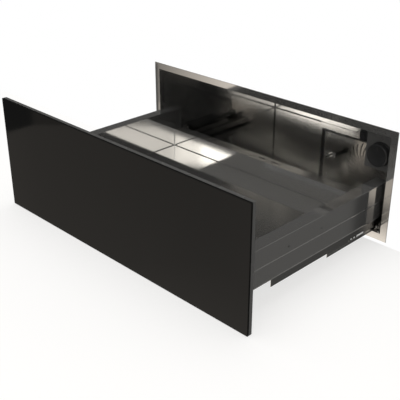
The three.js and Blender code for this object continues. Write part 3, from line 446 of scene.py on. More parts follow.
@dataclass(frozen=True)
class SatinSteel(Finish):
    """Satin metal with a short grain along Y."""

    metallic: float = 1.0
    grain_width: float = 0.0009
    grain_gloss: float = 0.12
    grain_depth: float = 0.00001
    tint: float = 0.1
    tint_size: float = 0.03

    def structure(self, shader: Shader) -> Inputs:
        """The grain, and slow changes of tone.

        Args:
            shader: the material being made.

        Returns:
            Inputs of the surface.
        """
        grain = shader.noise(self.grain_width, 3, (1, 0.05, 1))
        return {
            "Base Color": self.shades(shader, shader.noise(self.tint_size), self.tint),
            "Roughness": self.roughness + grain.spread(0.3, 0.7) * self.grain_gloss,
            "Normal": shader.bump(grain, self.grain_depth),
        }


@dataclass(frozen=True)
class BlackGlass(Finish):
    """Toughened glass, black all through, with faint wiping marks."""

    specular: float = 0.5
    wiping: float = 0.04
    wiping_size: float = 0.16
    tint: float = 0.1
    wave: float = 0.00002
    wave_size: float = 0.3

    def structure(self, shader: Shader) -> Inputs:
        """The wiping marks and the glass's slow roller wave.

        Args:
            shader: the material being made.

        Returns:
            Inputs of the surface.
        """
        wiped = shader.noise(self.wiping_size, 5, (1, 1, 0.5)).spread(0.45, 0.8)
        return {
            "Base Color": self.shades(shader, wiped, self.tint),
            "Roughness": self.roughness + wiped * self.wiping,
            "Normal": shader.bump(shader.noise(self.wave_size, 1), self.wave),
            "Specular IOR Level": self.specular,
        }


@dataclass(frozen=True)
class Moulding(Finish):
    """Moulded plastic or rubber with an eroded, slightly pebbled skin."""

    pebble: float = 0.0005
    pebble_depth: float = 0.00003
    pebble_share: float = 0.6
    wear: float = 0.08
    wear_size: float = 0.012
    tint: float = 0.12
    tint_size: float = 0.006

    def structure(self, shader: Shader) -> Inputs:
        """The pebbled skin, with worn, glossier places.

        Args:
            shader: the material being made.

        Returns:
            Inputs of the surface.
        """
        pebbles = shader.cells(self.pebble)
        worn = shader.noise(self.wear_size, 4).spread(0.45, 0.75)
        return {
            "Base Color": self.shades(shader, shader.noise(self.tint_size, 4), self.tint),
            "Roughness": self.roughness - worn * self.wear,
            "Normal": shader.bump(pebbles, self.pebble_depth, self.pebble_share),
        }


@dataclass(frozen=True)
class MineralWool(Finish):
    """Felted mineral wool: pale matted fibres with darker flecks."""

    fibre: float = 0.002
    fibre_depth: float = 0.0012
    tint: float = 0.22
    fleck_size: float = 0.004
    fleck_share: float = 0.5
    fleck_colour: Colour = (0.28, 0.2, 0.1)

    def structure(self, shader: Shader) -> Inputs:
        """Matted fibres along two directions, and flecks of binder.

        Args:
            shader: the material being made.

        Returns:
            Inputs of the surface.
        """
        warp, weft = (shader.noise(self.fibre, 6, run) for run in ((0.15, 1, 1), (1, 0.15, 1)))
        fibres = warp * 0.5 + weft * 0.5
        flecks = shader.cells(self.fleck_size).spread(0.05, 0.2, 1.0, 0.0)
        base = self.shades(shader, fibres.spread(0.35, 0.65), self.tint)
        return {
            "Base Color": shader.blend(flecks * self.fleck_share, base, self.fleck_colour),
            "Normal": shader.bump(fibres, self.fibre_depth),
        }


@dataclass(frozen=True)
class HeaterFilm(Finish):
    """Amber film heater with an etched foil track folded to and fro inside it."""

    track: float = 0.009
    foil_share: float = 0.7
    foil_colour: Colour = (0.16, 0.09, 0.05)
    foil_gloss: float = 0.1
    foil_depth: float = 0.00005

    def structure(self, shader: Shader) -> Inputs:
        """The straight runs of the foil track, seen through the film.

        Args:
            shader: the material being made.

        Returns:
            Inputs of the surface.
        """
        inputs = {"Vector": shader.place(), "Scale": 1.0 / (math.pi * self.track)}
        foil = shader.node("ShaderNodeTexWave", inputs, out="Fac", bands_direction="X").above(0.45)
        return {
            "Base Color": shader.blend(foil * self.foil_share, self.colour, self.foil_colour),
            "Roughness": self.roughness - foil * self.foil_gloss,
            "Normal": shader.bump(foil, self.foil_depth),
        }


class Look(Enum):
    """The finishes of the drawer."""

    mirror_steel = PolishedSteel("mirror_steel", (0.80, 0.79, 0.77), 0.055, metallic=0.945)
    cavity_steel = PolishedSteel("cavity_steel", (0.80, 0.79, 0.77), 0.09, metallic=0.93)
    dark_steel = CoatedSteel("dark_steel", (0.105, 0.103, 0.099), 0.26)
    ceiling_steel = SatinSteel("ceiling_steel", (0.72, 0.71, 0.69), 0.15, metallic=0.88)
    runner_steel = PolishedSteel("runner_steel", (0.68, 0.675, 0.66), 0.16, smudge=0.08)
    galvanised = GalvanisedSteel("galvanised", (0.50, 0.51, 0.52), 0.34, metallic=0.5)
    satin_steel = SatinSteel("satin_steel", (0.64, 0.63, 0.61), 0.26)
    black_glass = BlackGlass("black_glass", (0.006, 0.006, 0.0057), 0.05, specular=0.21)
    black_plastic = Moulding("black_plastic", (0.019, 0.019, 0.0192), 0.42)
    grey_plastic = Moulding("grey_plastic", (0.040, 0.038, 0.036), 0.5)
    wool = MineralWool("wool", (0.70, 0.66, 0.52), 0.95)
    rubber = Moulding("rubber", (0.012, 0.012, 0.012), 0.75, pebble=0.0009)
    heater_foil = HeaterFilm("heater_foil", (0.42, 0.16, 0.05), 0.4)
    nylon = Moulding("nylon", (0.80, 0.80, 0.78), 0.4)
    motor_steel = SatinSteel("motor_steel", (0.20, 0.20, 0.21), 0.35, metallic=0.9)


# Looks that the record has no slot for.
# CAD nodes with a closer look than their slot's.
FINER_LOOKS = {
    "liner_floor": Look.cavity_steel,
    "liner_back": Look.cavity_steel,
    "liner_side_left": Look.cavity_steel,
    "liner_side_right": Look.cavity_steel,
    "liner_ceiling": Look.ceiling_steel,
}


# ------------------------------------------------------------------ mesh making
class Axis(Enum):
    """Directions that a piece made facing +Z can be turned to."""

    FRONT = Matrix.Rotation(math.pi / 2, 4, "X")
    BACK = Matrix.Rotation(-math.pi / 2, 4, "X")
    RIGHT = Matrix.Rotation(math.pi / 2, 4, "Y")
    LEFT = Matrix.Rotation(-math.pi / 2, 4, "Y")

    def at(self, place: Sequence[float]) -> Matrix:
        """The turn, with a move to a place after it."""
        return Matrix.Translation(place) @ self.value


def placed(name: str, data: bpy.types.ID) -> bpy.types.Object:
    """Puts an object in the scene.

    Args:
        name: its name.
        data: its mesh, curve, lamp or camera.

    Returns:
        The object.
    """
    made = bpy.data.objects.new(name, data)
    bpy.context.scene.collection.objects.link(made)
    return made


def stored(name: str, mesh: bmesh.types.BMesh) -> bpy.types.Mesh:
    """Stores a mesh that is being edited, and frees it.

    Args:
        name: the stored mesh's name.
        mesh: the mesh, which is used up.

    Returns:
        The stored mesh.
    """
    data = bpy.data.meshes.new(name)
    mesh.to_mesh(data)
    mesh.free()
    return data


def joined(parts: Iterable[bmesh.types.BMesh]) -> bmesh.types.BMesh:
    """Gathers meshes into one.

    Args:
        parts: the meshes, which are used up.

    Returns:
        The whole.
    """
    whole = bmesh.new()
    for part in parts:
        loose = stored("loose", part)
        whole.from_mesh(loose)
        bpy.data.meshes.remove(loose)
    return whole


def block(mesh: bmesh.types.BMesh, middle: Sequence[float], size: Sequence[float]) -> None:
    """Adds a rectangular block to a mesh.

    Args:
        mesh: the mesh.
        middle: the block's middle.
        size: its width, depth and height.
    """
    at = Matrix.Translation(middle) @ Matrix.Diagonal((*size, 1.0))
    bmesh.ops.create_cube(mesh, size=1.0, matrix=at)


def skin(rings: Sequence[Ring]) -> bmesh.types.BMesh:
    """A closed surface through rings of points.

    Args:
        rings: rings with as many points each, in order from one end to the other.

    Returns:
        The mesh.
    """
    mesh = bmesh.new()
    rows = [[mesh.verts.new(point) for point in ring] for ring in rings]
    for low, high in zip(rows, rows[1:]):
        for i in range(len(low)):
            j = (i + 1) % len(low)
            mesh.faces.new((low[i], low[j], high[j], high[i]))
    mesh.faces.new(list(reversed(rows[0])))
    mesh.faces.new(rows[-1])
    return mesh


def ring(radius: float | Callable[[float], float], height: float, sides: int) -> Ring:
    """Points of a ring about Z.

    Args:
        radius: a number, or a function of the angle.
        height: the ring's height.
        sides: how many points.

    Returns:
        The points.
    """
    points = []
    for i in range(sides):
        angle = 2 * math.pi * i / sides
        reach = radius(angle) if callable(radius) else radius
        points.append(Vector((reach * math.cos(angle), reach * math.sin(angle), height)))
    return points


def rectangle(left: float, right: float, low: float, high: float) -> Outline:
    """Corners of a rectangle.

    Args:
        left: its left edge.
        right: its right edge.
        low: its lower or nearer edge.
        high: its upper or farther edge.

    Returns:
        The corners in order.
    """
    return [(left, low), (right, low), (right, high), (left, high)]


def cross(arm: float, width: float) -> Callable[[float], float]:
    """Outline of a cross recess, as a radius for each angle.

    Args:
        arm: length of an arm from the middle.
        width: width of an arm.

    Returns:
        The radius function.
    """
    half, least = width / 2, 1e-6

    def radius(angle: float) -> float:
        """The outline's distance from the middle at an angle."""
        along, across = abs(math.cos(angle)) + least, abs(math.sin(angle)) + least
        return max(min(arm / along, half / across), min(arm / across, half / along))

    return radius


@dataclass(frozen=True)
class Screw:
    """A pan-head screw with a cross recess."""

    radius: float
    height: float
    sides: int = 32
    recess_length: float = 0.36
    recess_width: float = 0.16
    recess_floor: float = 0.45
    dome: Sequence[Pair] = (
        (1.0, 0.0), (1.0, 0.2), (0.96, 0.42), (0.88, 0.62), (0.76, 0.8), (0.6, 0.93), (0.42, 1.0))

    def head(self) -> bmesh.types.BMesh:
        """The screw's head, standing on Z = 0; its shares are of the radius and the height.

        Returns:
            The mesh.
        """
        recess = cross(self.radius * self.recess_length, self.radius * self.recess_width)
        rings = [ring(self.radius * reach, self.height * up, self.sides) for reach, up in self.dome]
        rings += [ring(recess, self.height * up, self.sides) for up in (1.0, self.recess_floor)]
        return skin(rings)


def cove(fold: Fold, radius: float, steps: int = 8) -> bmesh.types.BMesh:
    """The rounded fold between two sheets that meet along an edge.

    Args:
        fold: the edge's start and end, and the directions of the two sheets away from it.
        radius: of the fold.
        steps: faces across the fold.

    Returns:
        The mesh.
    """
    start, end, first, second = fold
    centre = (first + second) * radius
    section = [Vector((0, 0, 0))]
    for i in range(steps + 1):
        angle = math.pi / 2 * i / steps
        section.append(centre - radius * (first * math.cos(angle) + second * math.sin(angle)))
    return skin([[point + place for point in section] for place in (start, end)])


@dataclass
class Bench:
    """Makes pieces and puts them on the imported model."""

    frame: dict
    materials: dict[Look, bpy.types.Material] = field(default_factory=dict)
    weld_gap: float = 0.00001
    seam_gap: float = 0.000001
    soft_angle: float = 40.0
    soft_steps: int = 2
    head_turn: float = 0.7
    flat_cosine: float = 0.999

    def finish(self, look: Look) -> bpy.types.Material:
        """The material of a look, made once.

        Args:
            look: the look.

        Returns:
            Its material.
        """
        if look not in self.materials:
            self.materials[look] = look.value.material()
        return self.materials[look]

    def dress_nodes(self) -> None:
        """Gives every CAD node the finish of its slot in the record, or its finer one."""
        for part in self.frame["record"]["subparts"]:
            look = FINER_LOOKS.get(part["node"], Look[part["material_slot"]])
            shown = self.frame["nodes"][part["node"]]
            shown.data.materials.clear()
            shown.data.materials.append(self.finish(look))

    def soften(self, names: Iterable[str], width: float) -> None:
        """Rounds the sharp edges of CAD nodes with modifiers; their own meshes stay as they are.

        Args:
            names: the nodes.
            width: of the rounding.
        """
        for name in names:
            shown = self.frame["nodes"][name]
            weld = shown.modifiers.new("weld", "WELD")
            weld.merge_threshold = self.weld_gap
            bevel = shown.modifiers.new("edge", "BEVEL")
            bevel.width = width
            bevel.segments = self.soft_steps
            bevel.limit_method = "ANGLE"
            bevel.angle_limit = math.radians(self.soft_angle)
            bevel.use_clamp_overlap = True

    def piece(self, name: str, mesh: bmesh.types.BMesh, look: Look, body: str,
              at: Matrix | None = None, sharp: float = PLAIN_SHARP) -> bpy.types.Object:
        """Turns a mesh into a piece that rides on a body.

        Args:
            name: the piece's name.
            mesh: its mesh, which is used up.
            look: its finish.
            body: the CAD body that it moves with.
            at: where it goes.
            sharp: the angle in degrees above which its edges stay sharp.

        Returns:
            The piece.
        """
        if at is not None:
            mesh.transform(at)
        bmesh.ops.recalc_face_normals(mesh, faces=mesh.faces)
        data = stored(name, mesh)
        data.shade_smooth()
        data.set_sharp_from_angle(angle=math.radians(sharp))
        data.materials.append(self.finish(look))
        made = placed(name, data)
        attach(made, body)
        LOG.info("%s, %s, rides on %s", name, look.name, body)
        return made

    def folds(self, name: str, edges: Iterable[Fold], radius: float, look: Look,
              body: str) -> None:
        """Rounded inside corners of a sheet box, as one piece.

        Args:
            name: the piece's name.
            edges: the corners.
            radius: of the corners.
            look: their finish.
            body: the body that they are part of.
        """
        self.piece(name, joined(cove(edge, radius) for edge in edges), look, body,
                   sharp=CURVED_SHARP)

    def screws(self, name: str, places: Sequence[Vector], axis: Axis, kind: Screw,
               look: Look = Look.satin_steel) -> bpy.types.Object:
        """Screw heads of one kind on the chassis, as one piece.

        Args:
            name: the piece's name.
            places: where each head's seat is.
            axis: which way the heads face.
            kind: the kind of screw.
            look: their finish.

        Returns:
            The piece.
        """
        heads = [kind.head() for _ in places]
        for i, (head, place) in enumerate(zip(heads, places)):
            head.transform(axis.at(place) @ Matrix.Rotation(self.head_turn * i, 4, "Z"))
        return self.piece(name, joined(heads), look, "chassis")

    def sheet(self, name: str, loops: Sequence[Outline], thick: float, edge: float, look: Look,
              body: str, at: Matrix) -> bpy.types.Object:
        """A flat sheet with holes and rounded edges.

        Args:
            name: the piece's name.
            loops: the outline and the holes, in the sheet's own plane.
            thick: the sheet's thickness.
            edge: radius of its edges.
            look: its finish.
            body: the body that carries it.
            at: where it goes.

        Returns:
            The piece.
        """
        curve = bpy.data.curves.new(name, "CURVE")
        curve.dimensions = "2D"
        curve.fill_mode = "BOTH"
        curve.extrude = thick / 2 - edge
        curve.bevel_depth = edge
        curve.bevel_resolution = 1
        curve.offset = -edge
        for loop in loops:
            spline = curve.splines.new("POLY")
            spline.points.add(len(loop) - 1)
            spline.use_cyclic_u = True
            for point, (u, v) in zip(spline.points, loop):
                point.co = (u, v, 0.0, 1.0)
        source = placed(name + "_curve", curve)
        evaluated = source.evaluated_get(bpy.context.evaluated_depsgraph_get())
        mesh = bmesh.new()
        mesh.from_mesh(evaluated.to_mesh())
        bpy.data.objects.remove(source)
        bmesh.ops.remove_doubles(mesh, verts=mesh.verts, dist=self.seam_gap)
        made = self.piece(name, mesh, look, body, at)
        # The large faces are flat: smooth ones would bend what the polish reflects.
        facing = at.to_3x3() @ UP
        for side in made.data.polygons:
            side.use_smooth = abs(side.normal.dot(facing)) < self.flat_cosine
        return made


# ------------------------------------------------------------------ sub-assemblies
@dataclass
class Assembly:
    """A part of the drawer that dresses itself at the bench."""

    bench: Bench

    def build(self) -> None:
        """Makes the assembly's pieces."""
        raise NotImplementedError


@dataclass
class Casing(Assembly):
    """Sheet screws of the galvanised outer case."""

    screw: Screw = Screw(3.6 * MM, 2.0 * MM)
    inset: float = 6.0 * MM
    side_shares: Sequence[float] = (0.06, 0.5, 0.94)

    def build(self) -> None:
        """Adds the screws along the edges of the case's back and sides."""
        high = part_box("casing_back")[1]
        x = high.x - self.inset
        z = high.z - self.inset
        rows = [Vector((side * x, high.y, height)) for side in (-1, 1) for height in (z, z / 2)]
        rows += [Vector((part * x / 2, high.y, z)) for part in (-1, 0, 1)]
        self.bench.screws("casing_screws_back", rows, Axis.BACK, self.screw)
        low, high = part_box("casing_side_right")
        for name, sign, axis in (("right", 1, Axis.RIGHT), ("left", -1, Axis.LEFT)):
            places = [
                Vector((sign * high.x, low.y + (high.y - low.y) * share, height))
                for share in self.side_shares
                for height in (low.z + self.inset, high.z - self.inset)
            ]
            self.bench.screws(f"casing_screws_{name}", places, axis, self.screw)


@dataclass
class Cavity(Assembly):
    """Mirror-steel cavity: corners, fan baffle, catch cover and the screws of the wall angles."""

    slots: int = 24
    sweep: float = 0.55
    grille_radius: float = 75 * MM
    grille_hub: float = 26 * MM
    slot_hub: float = 2.2 * MM
    slot_rim: float = 5.0 * MM
    slot_end: float = 0.45
    steps: int = 14
    baffle_sheet: float = 1.0 * MM
    baffle_edge: float = 0.2 * MM
    baffle_screw_at: Pair = (140 * MM, 64 * MM)
    baffle_screw: Screw = Screw(4.0 * MM, 1.0 * MM)
    sill_sheet: float = 0.5 * MM
    sill_edge: float = 0.1 * MM
    sill_rise: float = 5.2 * MM
    sill_gap: float = 6.5 * MM
    sill_lap: float = 6.0 * MM
    window_margin: float = 12.0 * MM
    cover_edge: float = 0.8 * MM
    angle_screw: Screw = Screw(3.8 * MM, 2.2 * MM)
    angle_sheet: float = 1.2 * MM
    ear_setbacks: Sequence[float] = (105 * MM, 241 * MM, 288 * MM)
    ear_middle: float = 8 * MM
    slot_lift: float = 16.5 * MM
    corner_radius: float = 2.5 * MM
    seal_radius: float = 3.0 * MM

    def build(self) -> None:
        """Makes the cavity's fine pieces."""
        self.baffle()
        self.angle_screws()
        self.corners()
        self.sill()
        self.catch_cover()

    def swept_slot(self, start: float, middle: Vector) -> Outline:
        """Outline of one curved slot with rounded ends.

        Args:
            start: angle at the hub.
            middle: the grille's centre.

        Returns:
            The outline.
        """
        sides: dict[int, Outline] = {-1: [], 1: []}
        for i in range(self.steps + 1):
            t = i / self.steps
            radius = self.grille_hub + (self.grille_radius - self.grille_hub) * t
            width = self.slot_hub + (self.slot_rim - self.slot_hub) * t
            width *= min(1.0, self.slot_end + 6 * min(t, 1 - t))
            for side in (-1, 1):
                angle = start + self.sweep * t + side * width / 2 / radius
                place = (middle.x + radius * math.cos(angle), middle.z + radius * math.sin(angle))
                sides[side].append(place)
        return sides[-1] + sides[1][::-1]

    def baffle(self) -> None:
        """The baffle with its swirl grille, and its four screws."""
        low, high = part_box("fan_baffle")
        middle = (low + high) / 2
        thick = self.baffle_sheet
        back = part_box("liner_back")[1].y
        loops = [rectangle(low.x, high.x, low.z + self.sill_rise, high.z)]
        for i in range(self.slots):
            loops.append(self.swept_slot(2 * math.pi * i / self.slots, middle))
        upright = Axis.FRONT.at((0, back - thick / 2, 0))
        baffle = self.bench.sheet(
            "swirl_baffle", loops, thick, self.baffle_edge, Look.cavity_steel, "chassis", upright)
        x, z = self.baffle_screw_at
        heads = [
            Vector((sx * x, back - thick, middle.z + sz * z)) for sx in (-1, 1) for sz in (-1, 1)]
        screws = self.bench.screws("baffle_screws", heads, Axis.FRONT, self.baffle_screw)
        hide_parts("fan_baffle")
        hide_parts("fan_baffle")

    def sill(self) -> None:
        """Strip that closes the lower part of the air slot under the baffle."""
        low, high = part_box("fan_baffle")
        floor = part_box("liner_floor")[1].z
        top = low.z + self.sill_rise - self.sill_gap
        half = high.x + self.window_margin + self.sill_lap
        upright = Axis.FRONT.at((0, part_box("liner_back")[0].y - self.sill_sheet / 2, 0))
        self.bench.sheet(
            "baffle_sill", [rectangle(-half, half, floor, top)], self.sill_sheet, self.sill_edge,
            Look.cavity_steel, "chassis", upright)

    def catch_cover(self) -> None:
        """Polished cover over the catch body, with its rounded edges."""
        low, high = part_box("catch_body")
        cover = bmesh.new()
        block(cover, (low + high) / 2, high - low)
        bmesh.ops.bevel(cover, geom=cover.edges, offset=self.cover_edge, segments=3, affect="EDGES")
        made = self.bench.piece("catch_cover", cover, Look.cavity_steel, "chassis")
        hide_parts("catch_body")

    def angle_screws(self) -> None:
        """Screws in the ears of the wall angles, and one through a slot of each."""
        low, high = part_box("runner_angle_left")
        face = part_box("front_flange")[0].y
        inner = abs(low.x) - self.angle_sheet
        spots = [(setback, high.z - self.ear_middle) for setback in self.ear_setbacks]
        spots.append((self.ear_setbacks[1], low.z + self.slot_lift))
        for name, sign, axis in (("left", -1, Axis.RIGHT), ("right", 1, Axis.LEFT)):
            places = [Vector((sign * inner, face + setback, z)) for setback, z in spots]
            self.bench.screws(
                f"angle_screws_{name}", places, axis, self.angle_screw, Look.mirror_steel)

    def corners(self) -> None:
        """Rounded corners between the cavity's sheets, and black strips up its back corners:
        painted shade for the dark gaps there.
        """
        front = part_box("front_flange")[1].y
        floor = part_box("liner_floor")[1].z
        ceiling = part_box("liner_ceiling")[0].z
        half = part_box("liner_side_right")[0].x
        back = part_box("liner_back")[0].y
        behind_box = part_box("control_housing")[1].y
        edges: list[Fold] = [
            (Vector((-half, back, floor)), Vector((half, back, floor)), UP, OUT),
            (Vector((-half, back, ceiling)), Vector((half, back, ceiling)), DOWN, OUT),
        ]
        shade_strips: list[Fold] = []
        for sign, start in ((-1, front), (1, behind_box)):
            x, inward = sign * half, Vector((-sign, 0, 0))
            edges.append((Vector((x, front, floor)), Vector((x, back, floor)), UP, inward))
            edges.append((Vector((x, start, ceiling)), Vector((x, back, ceiling)), DOWN, inward))
            shade_strips.append((Vector((x, back, floor)), Vector((x, back, ceiling)), inward, OUT))
        self.bench.folds("cavity_corners", edges, self.corner_radius, Look.cavity_steel, "chassis")
        # Painted shade: black strips stand in for the shadow in the gaps at the back corners.
        self.bench.folds("cavity_corner_shade", shade_strips, self.seal_radius, Look.black_plastic, "chassis")


@dataclass
class Controls(Assembly):
    """The control knob with its pointer."""

    flutes: int = 44
    flute_depth: float = 0.35 * MM
    sides: int = 176
    plate_gap: float = 0.3 * MM
    skirt_reach: float = 1.6 * MM
    stem_radius: float = 3 * MM
    stem_length: float = 13 * MM
    pointer_size: Sequence[float] = (1.6 * MM, 0.5 * MM, 9.0 * MM)
    pointer_sink: float = 0.35 * MM
    pointer_rise: float = 15.5 * MM
    pointer_edge: float = 0.2 * MM

    def fluted(self, radius: float, share: float) -> Callable[[float], float]:
        """A circle with flutes cut into it.

        Args:
            radius: of the circle.
            share: of the flutes' depth.

        Returns:
            The radius at each angle.
        """
        depth = self.flute_depth * share
        return lambda angle: radius - depth * (0.5 + 0.5 * math.cos(self.flutes * angle))

    def build(self) -> None:
        """Makes the fluted knob and the pointer set in its face."""
        low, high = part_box("control_knob")
        skirt = (high.x - low.x) / 2
        middle = (low + high) / 2
        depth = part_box("control_plate")[0].y - low.y - self.plate_gap
        body = skirt - self.skirt_reach
        face = body - 3.4 * MM
        # Each row of the turned profile: radius, height over the plate, share of the flutes.
        profile = (
            (self.stem_radius, -self.stem_length, 0.0),
            (self.stem_radius, 0.0, 0.0),
            (skirt, 0.0, 0.0),
            (skirt, 1.6 * MM, 0.0),
            (skirt - 0.7 * MM, 2.6 * MM, 0.0),
            (body - 0.8 * MM, 3.4 * MM, 0.0),
            (body, 4.2 * MM, 0.0),
            (body, 5.4 * MM, 1.0),
            (body, depth - 3.2 * MM, 1.0),
            (body, depth - 1.4 * MM, 0.3),
            (body - 1.2 * MM, depth - 0.4 * MM, 0.0),
            (body - 2.4 * MM, depth, 0.0),
            (face, depth, 0.0),
            (face - 0.6 * MM, depth - 0.5 * MM, 0.0),
            (1 * MM, depth - 0.5 * MM, 0.0),
        )
        rings = [ring(self.fluted(reach, share), z, self.sides) for reach, z, share in profile]
        place = Axis.FRONT.at((middle.x, low.y + depth, middle.z))
        knob = self.bench.piece(
            "dial_knob", skin(rings), Look.black_plastic, "knob", place, CURVED_SHARP)
        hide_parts("control_knob")
        pointer = bmesh.new()
        spot = (middle.x, low.y + self.pointer_sink, middle.z + self.pointer_rise)
        block(pointer, spot, self.pointer_size)
        edges = pointer.edges
        bmesh.ops.bevel(pointer, geom=edges, offset=self.pointer_edge, segments=2, affect="EDGES")
        self.bench.piece("dial_pointer", pointer, Look.grey_plastic, "knob")


@dataclass
class Runners(Assembly):
    """Telescopic ball runners: balls in their cages, and white nylon discs on the drawer's rails
    that are painted highlights.
    """

    button_setbacks: Sequence[float] = (94.7 * MM, 83.7 * MM)
    pad_ends: Pair = (73.0 * MM, 52.0 * MM)
    button_radius: float = 2.0 * MM
    button_sides: int = 24
    button_height: float = 32.5 * MM
    button_thick: float = 0.2 * MM
    button_edge: float = 0.03 * MM
    ball: float = 1.5 * MM
    ball_sides: int = 16
    ball_rings: int = 10
    pitch: float = 24 * MM
    strip: float = 0.6 * MM

    def build(self) -> None:
        """Makes fine ball cages in place of the faceted ones, and the painted highlights on the
        rails.
        """
        for side in ("right", "left"):
            for level in ("upper", "lower"):
                self.cage(side, level)
            self.buttons(side)

    def buttons(self, side: str) -> None:
        """White nylon discs and a longer strip on the outside of a drawer rail, near the cavity's
        mouth: painted highlights where the rails show bright spots.

        Args:
            side: right or left.
        """
        low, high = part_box(f"drawer_rail_{side}")
        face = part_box("front_flange")[0].y
        outside = high.x if side == "right" else low.x
        loops = []
        for near, far in (*((setback, setback) for setback in self.button_setbacks), self.pad_ends):
            loop = []
            for point in ring(self.button_radius, 0.0, self.button_sides):
                along = face - (far if point.x > 0 else near) + point.x
                loop.append((along, self.button_height + point.y))
            loops.append(loop)
        facing = Matrix(((0, 0, 1, outside), (1, 0, 0, 0), (0, 1, 0, 0), (0, 0, 0, 1)))
        # Painted highlights: thin white discs stand in for the bright spots on the rail.
        self.bench.sheet(f"rail_buttons_{side}", loops, self.button_thick, self.button_edge,
                         Look.nylon, "drawer", facing)

    def cage(self, side: str, level: str) -> None:
        """Makes one cage with its balls.

        Args:
            side: right or left.
            level: upper or lower.
        """
        low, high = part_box(f"{level}_ball_cage_{side}")
        middle, length = (low.y + high.y) / 2, high.y - low.y
        up = 1 if level == "lower" else -1
        web, top = (low.z, high.z) if up > 0 else (high.z, low.z)
        legs = (low.x + self.ball, high.x - self.ball)
        half = self.strip / 2
        mesh = bmesh.new()
        for x0, x1, z1 in (
                (legs[0] - half, legs[1] + half, web + up * self.strip),
                (legs[0] - half, legs[0] + half, top),
                (legs[1] - half, legs[1] + half, top)):
            block(mesh, ((x0 + x1) / 2, middle, (web + z1) / 2), (x1 - x0, length, abs(z1 - web)))
        count = int((length - self.pitch / 2) / self.pitch) + 1
        for x in legs:
            for i in range(count):
                place = (x, middle + (i - (count - 1) / 2) * self.pitch, top - up * self.ball)
                bmesh.ops.create_uvsphere(
                    mesh, u_segments=self.ball_sides, v_segments=self.ball_rings,
                    radius=self.ball, matrix=Matrix.Translation(place))
        made = self.bench.piece(
            f"{level}_balls_{side}", mesh, Look.satin_steel, f"{level}_cage_{side}",
            sharp=CURVED_SHARP)
        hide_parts(f"{level}_ball_cage_{side}")


@dataclass
class DrawerBox(Assembly):
    """The drawer box: its rounded edges and corners, the front's backing and a black strip of
    painted shade under the vents.
    """

    sheet: float = 1.0 * MM
    glass_edge: float = 0.25 * MM
    sheet_edge: float = 0.3 * MM
    corner_radius: float = 2.0 * MM
    backing_inset: float = 3.0 * MM
    backing_clear: float = 0.05 * MM
    shade_span: Pair = (-40 * MM, 65 * MM)
    shade_margin: float = 2.5 * MM
    shade_sheet: float = 0.5 * MM
    shade_gap: float = 0.1 * MM
    trim_edge: float = 0.05 * MM

    def build(self) -> None:
        """Rounds the sheet edges and the corners, and adds the hidden sheets."""
        self.bench.soften(["front_glass"], self.glass_edge)
        self.bench.soften(["front_frame", "front_rim", "rear_ledge"], self.sheet_edge)
        self.corners()
        self.backing()
        self.vent_shade()

    def vent_shade(self) -> None:
        """Black strip under the rear ledge, that shows through its vents: painted shade where the
        hollow under the ledge is dark.
        """
        low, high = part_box("rear_ledge")
        outline = rectangle(*self.shade_span, low.y + self.shade_margin, high.y - self.shade_margin)
        middle = high.z - self.sheet - self.shade_sheet / 2 - self.shade_gap
        # Painted shade: a black sheet where the vents would show only shadow.
        self.bench.sheet(
            "vent_shade", [outline], self.shade_sheet, self.trim_edge, Look.black_plastic, "drawer",
            Matrix.Translation((0, 0, middle)))

    def backing(self) -> None:
        """Zinc-coated sheet that backs the front panel."""
        low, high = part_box("front_frame")
        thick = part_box("front_rim")[0].y - high.y - self.backing_clear
        x = high.x - self.backing_inset
        outline = rectangle(-x, x, low.z + self.backing_inset, high.z - self.backing_inset)
        self.bench.sheet(
            "front_backing", [outline], thick, self.trim_edge, Look.galvanised, "drawer",
            Axis.FRONT.at((0, high.y + thick / 2, 0)))

    def corners(self) -> None:
        """Rounded corners between the tray's floor and walls."""
        low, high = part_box("tray_pan")
        half = high.x - self.sheet
        floor, front = low.z + self.sheet, low.y + self.sheet
        ledge_low, ledge_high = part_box("rear_ledge")
        rear, ledge = ledge_low.y, ledge_high.z - self.sheet
        edges: list[Fold] = [
            (Vector((-half, front, floor)), Vector((half, front, floor)), UP, INTO),
            (Vector((-half, rear, floor)), Vector((half, rear, floor)), UP, OUT),
        ]
        for sign in (-1, 1):
            x, across = sign * half, Vector((-sign, 0, 0))
            edges.append((Vector((x, front, floor)), Vector((x, rear, floor)), UP, across))
            edges.append((Vector((x, front, floor)), Vector((x, front, high.z)), across, INTO))
            edges.append((Vector((x, rear, floor)), Vector((x, rear, ledge)), across, OUT))
        self.bench.folds("tray_corners", edges, self.corner_radius, Look.mirror_steel, "drawer")


# ------------------------------------------------------------------ the set
def level_face(outline: Iterable[Pair], height: float) -> Ring:
    """Corners of a level face.

    Args:
        outline: the corners, seen from above.
        height: of the face.

    Returns:
        The corners.
    """
    return [Vector((x, y, height)) for x, y in outline]


def wall(start: Pair, end: Pair, low: float, high: float) -> Ring:
    """Corners of an upright face.

    Args:
        start: where it starts, seen from above.
        end: where it ends.
        low: height of its lower edge.
        high: height of its upper edge.

    Returns:
        The corners.
    """
    corners = ((start, low), (end, low), (end, high), (start, high))
    return [Vector((*place, height)) for place, height in corners]


def stage_piece(name: str, faces: Iterable[Ring], shader: Shader, hidden: Sequence[str]) -> None:
    """A piece of the set, made of flat faces.

    Args:
        name: its name.
        faces: the corners of each face.
        shader: its material.
        hidden: the kinds of rays that pass it by.
    """
    mesh = bmesh.new()
    for face in faces:
        mesh.faces.new([mesh.verts.new(point) for point in face])
    data = stored(name, mesh)
    data.materials.append(shader.owner)
    made = placed(name, data)
    made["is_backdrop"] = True
    for rays in hidden:
        setattr(made, f"visible_{rays}", False)


def aim(made: bpy.types.Object, place: Sequence[float], direction: Vector) -> None:
    """Puts a camera or lamp in its place.

    Args:
        made: the camera or lamp.
        place: where it goes.
        direction: which way it faces.
    """
    made.location = place
    made.rotation_mode = "QUATERNION"
    made.rotation_quaternion = direction.to_track_quat("-Z", "Y")


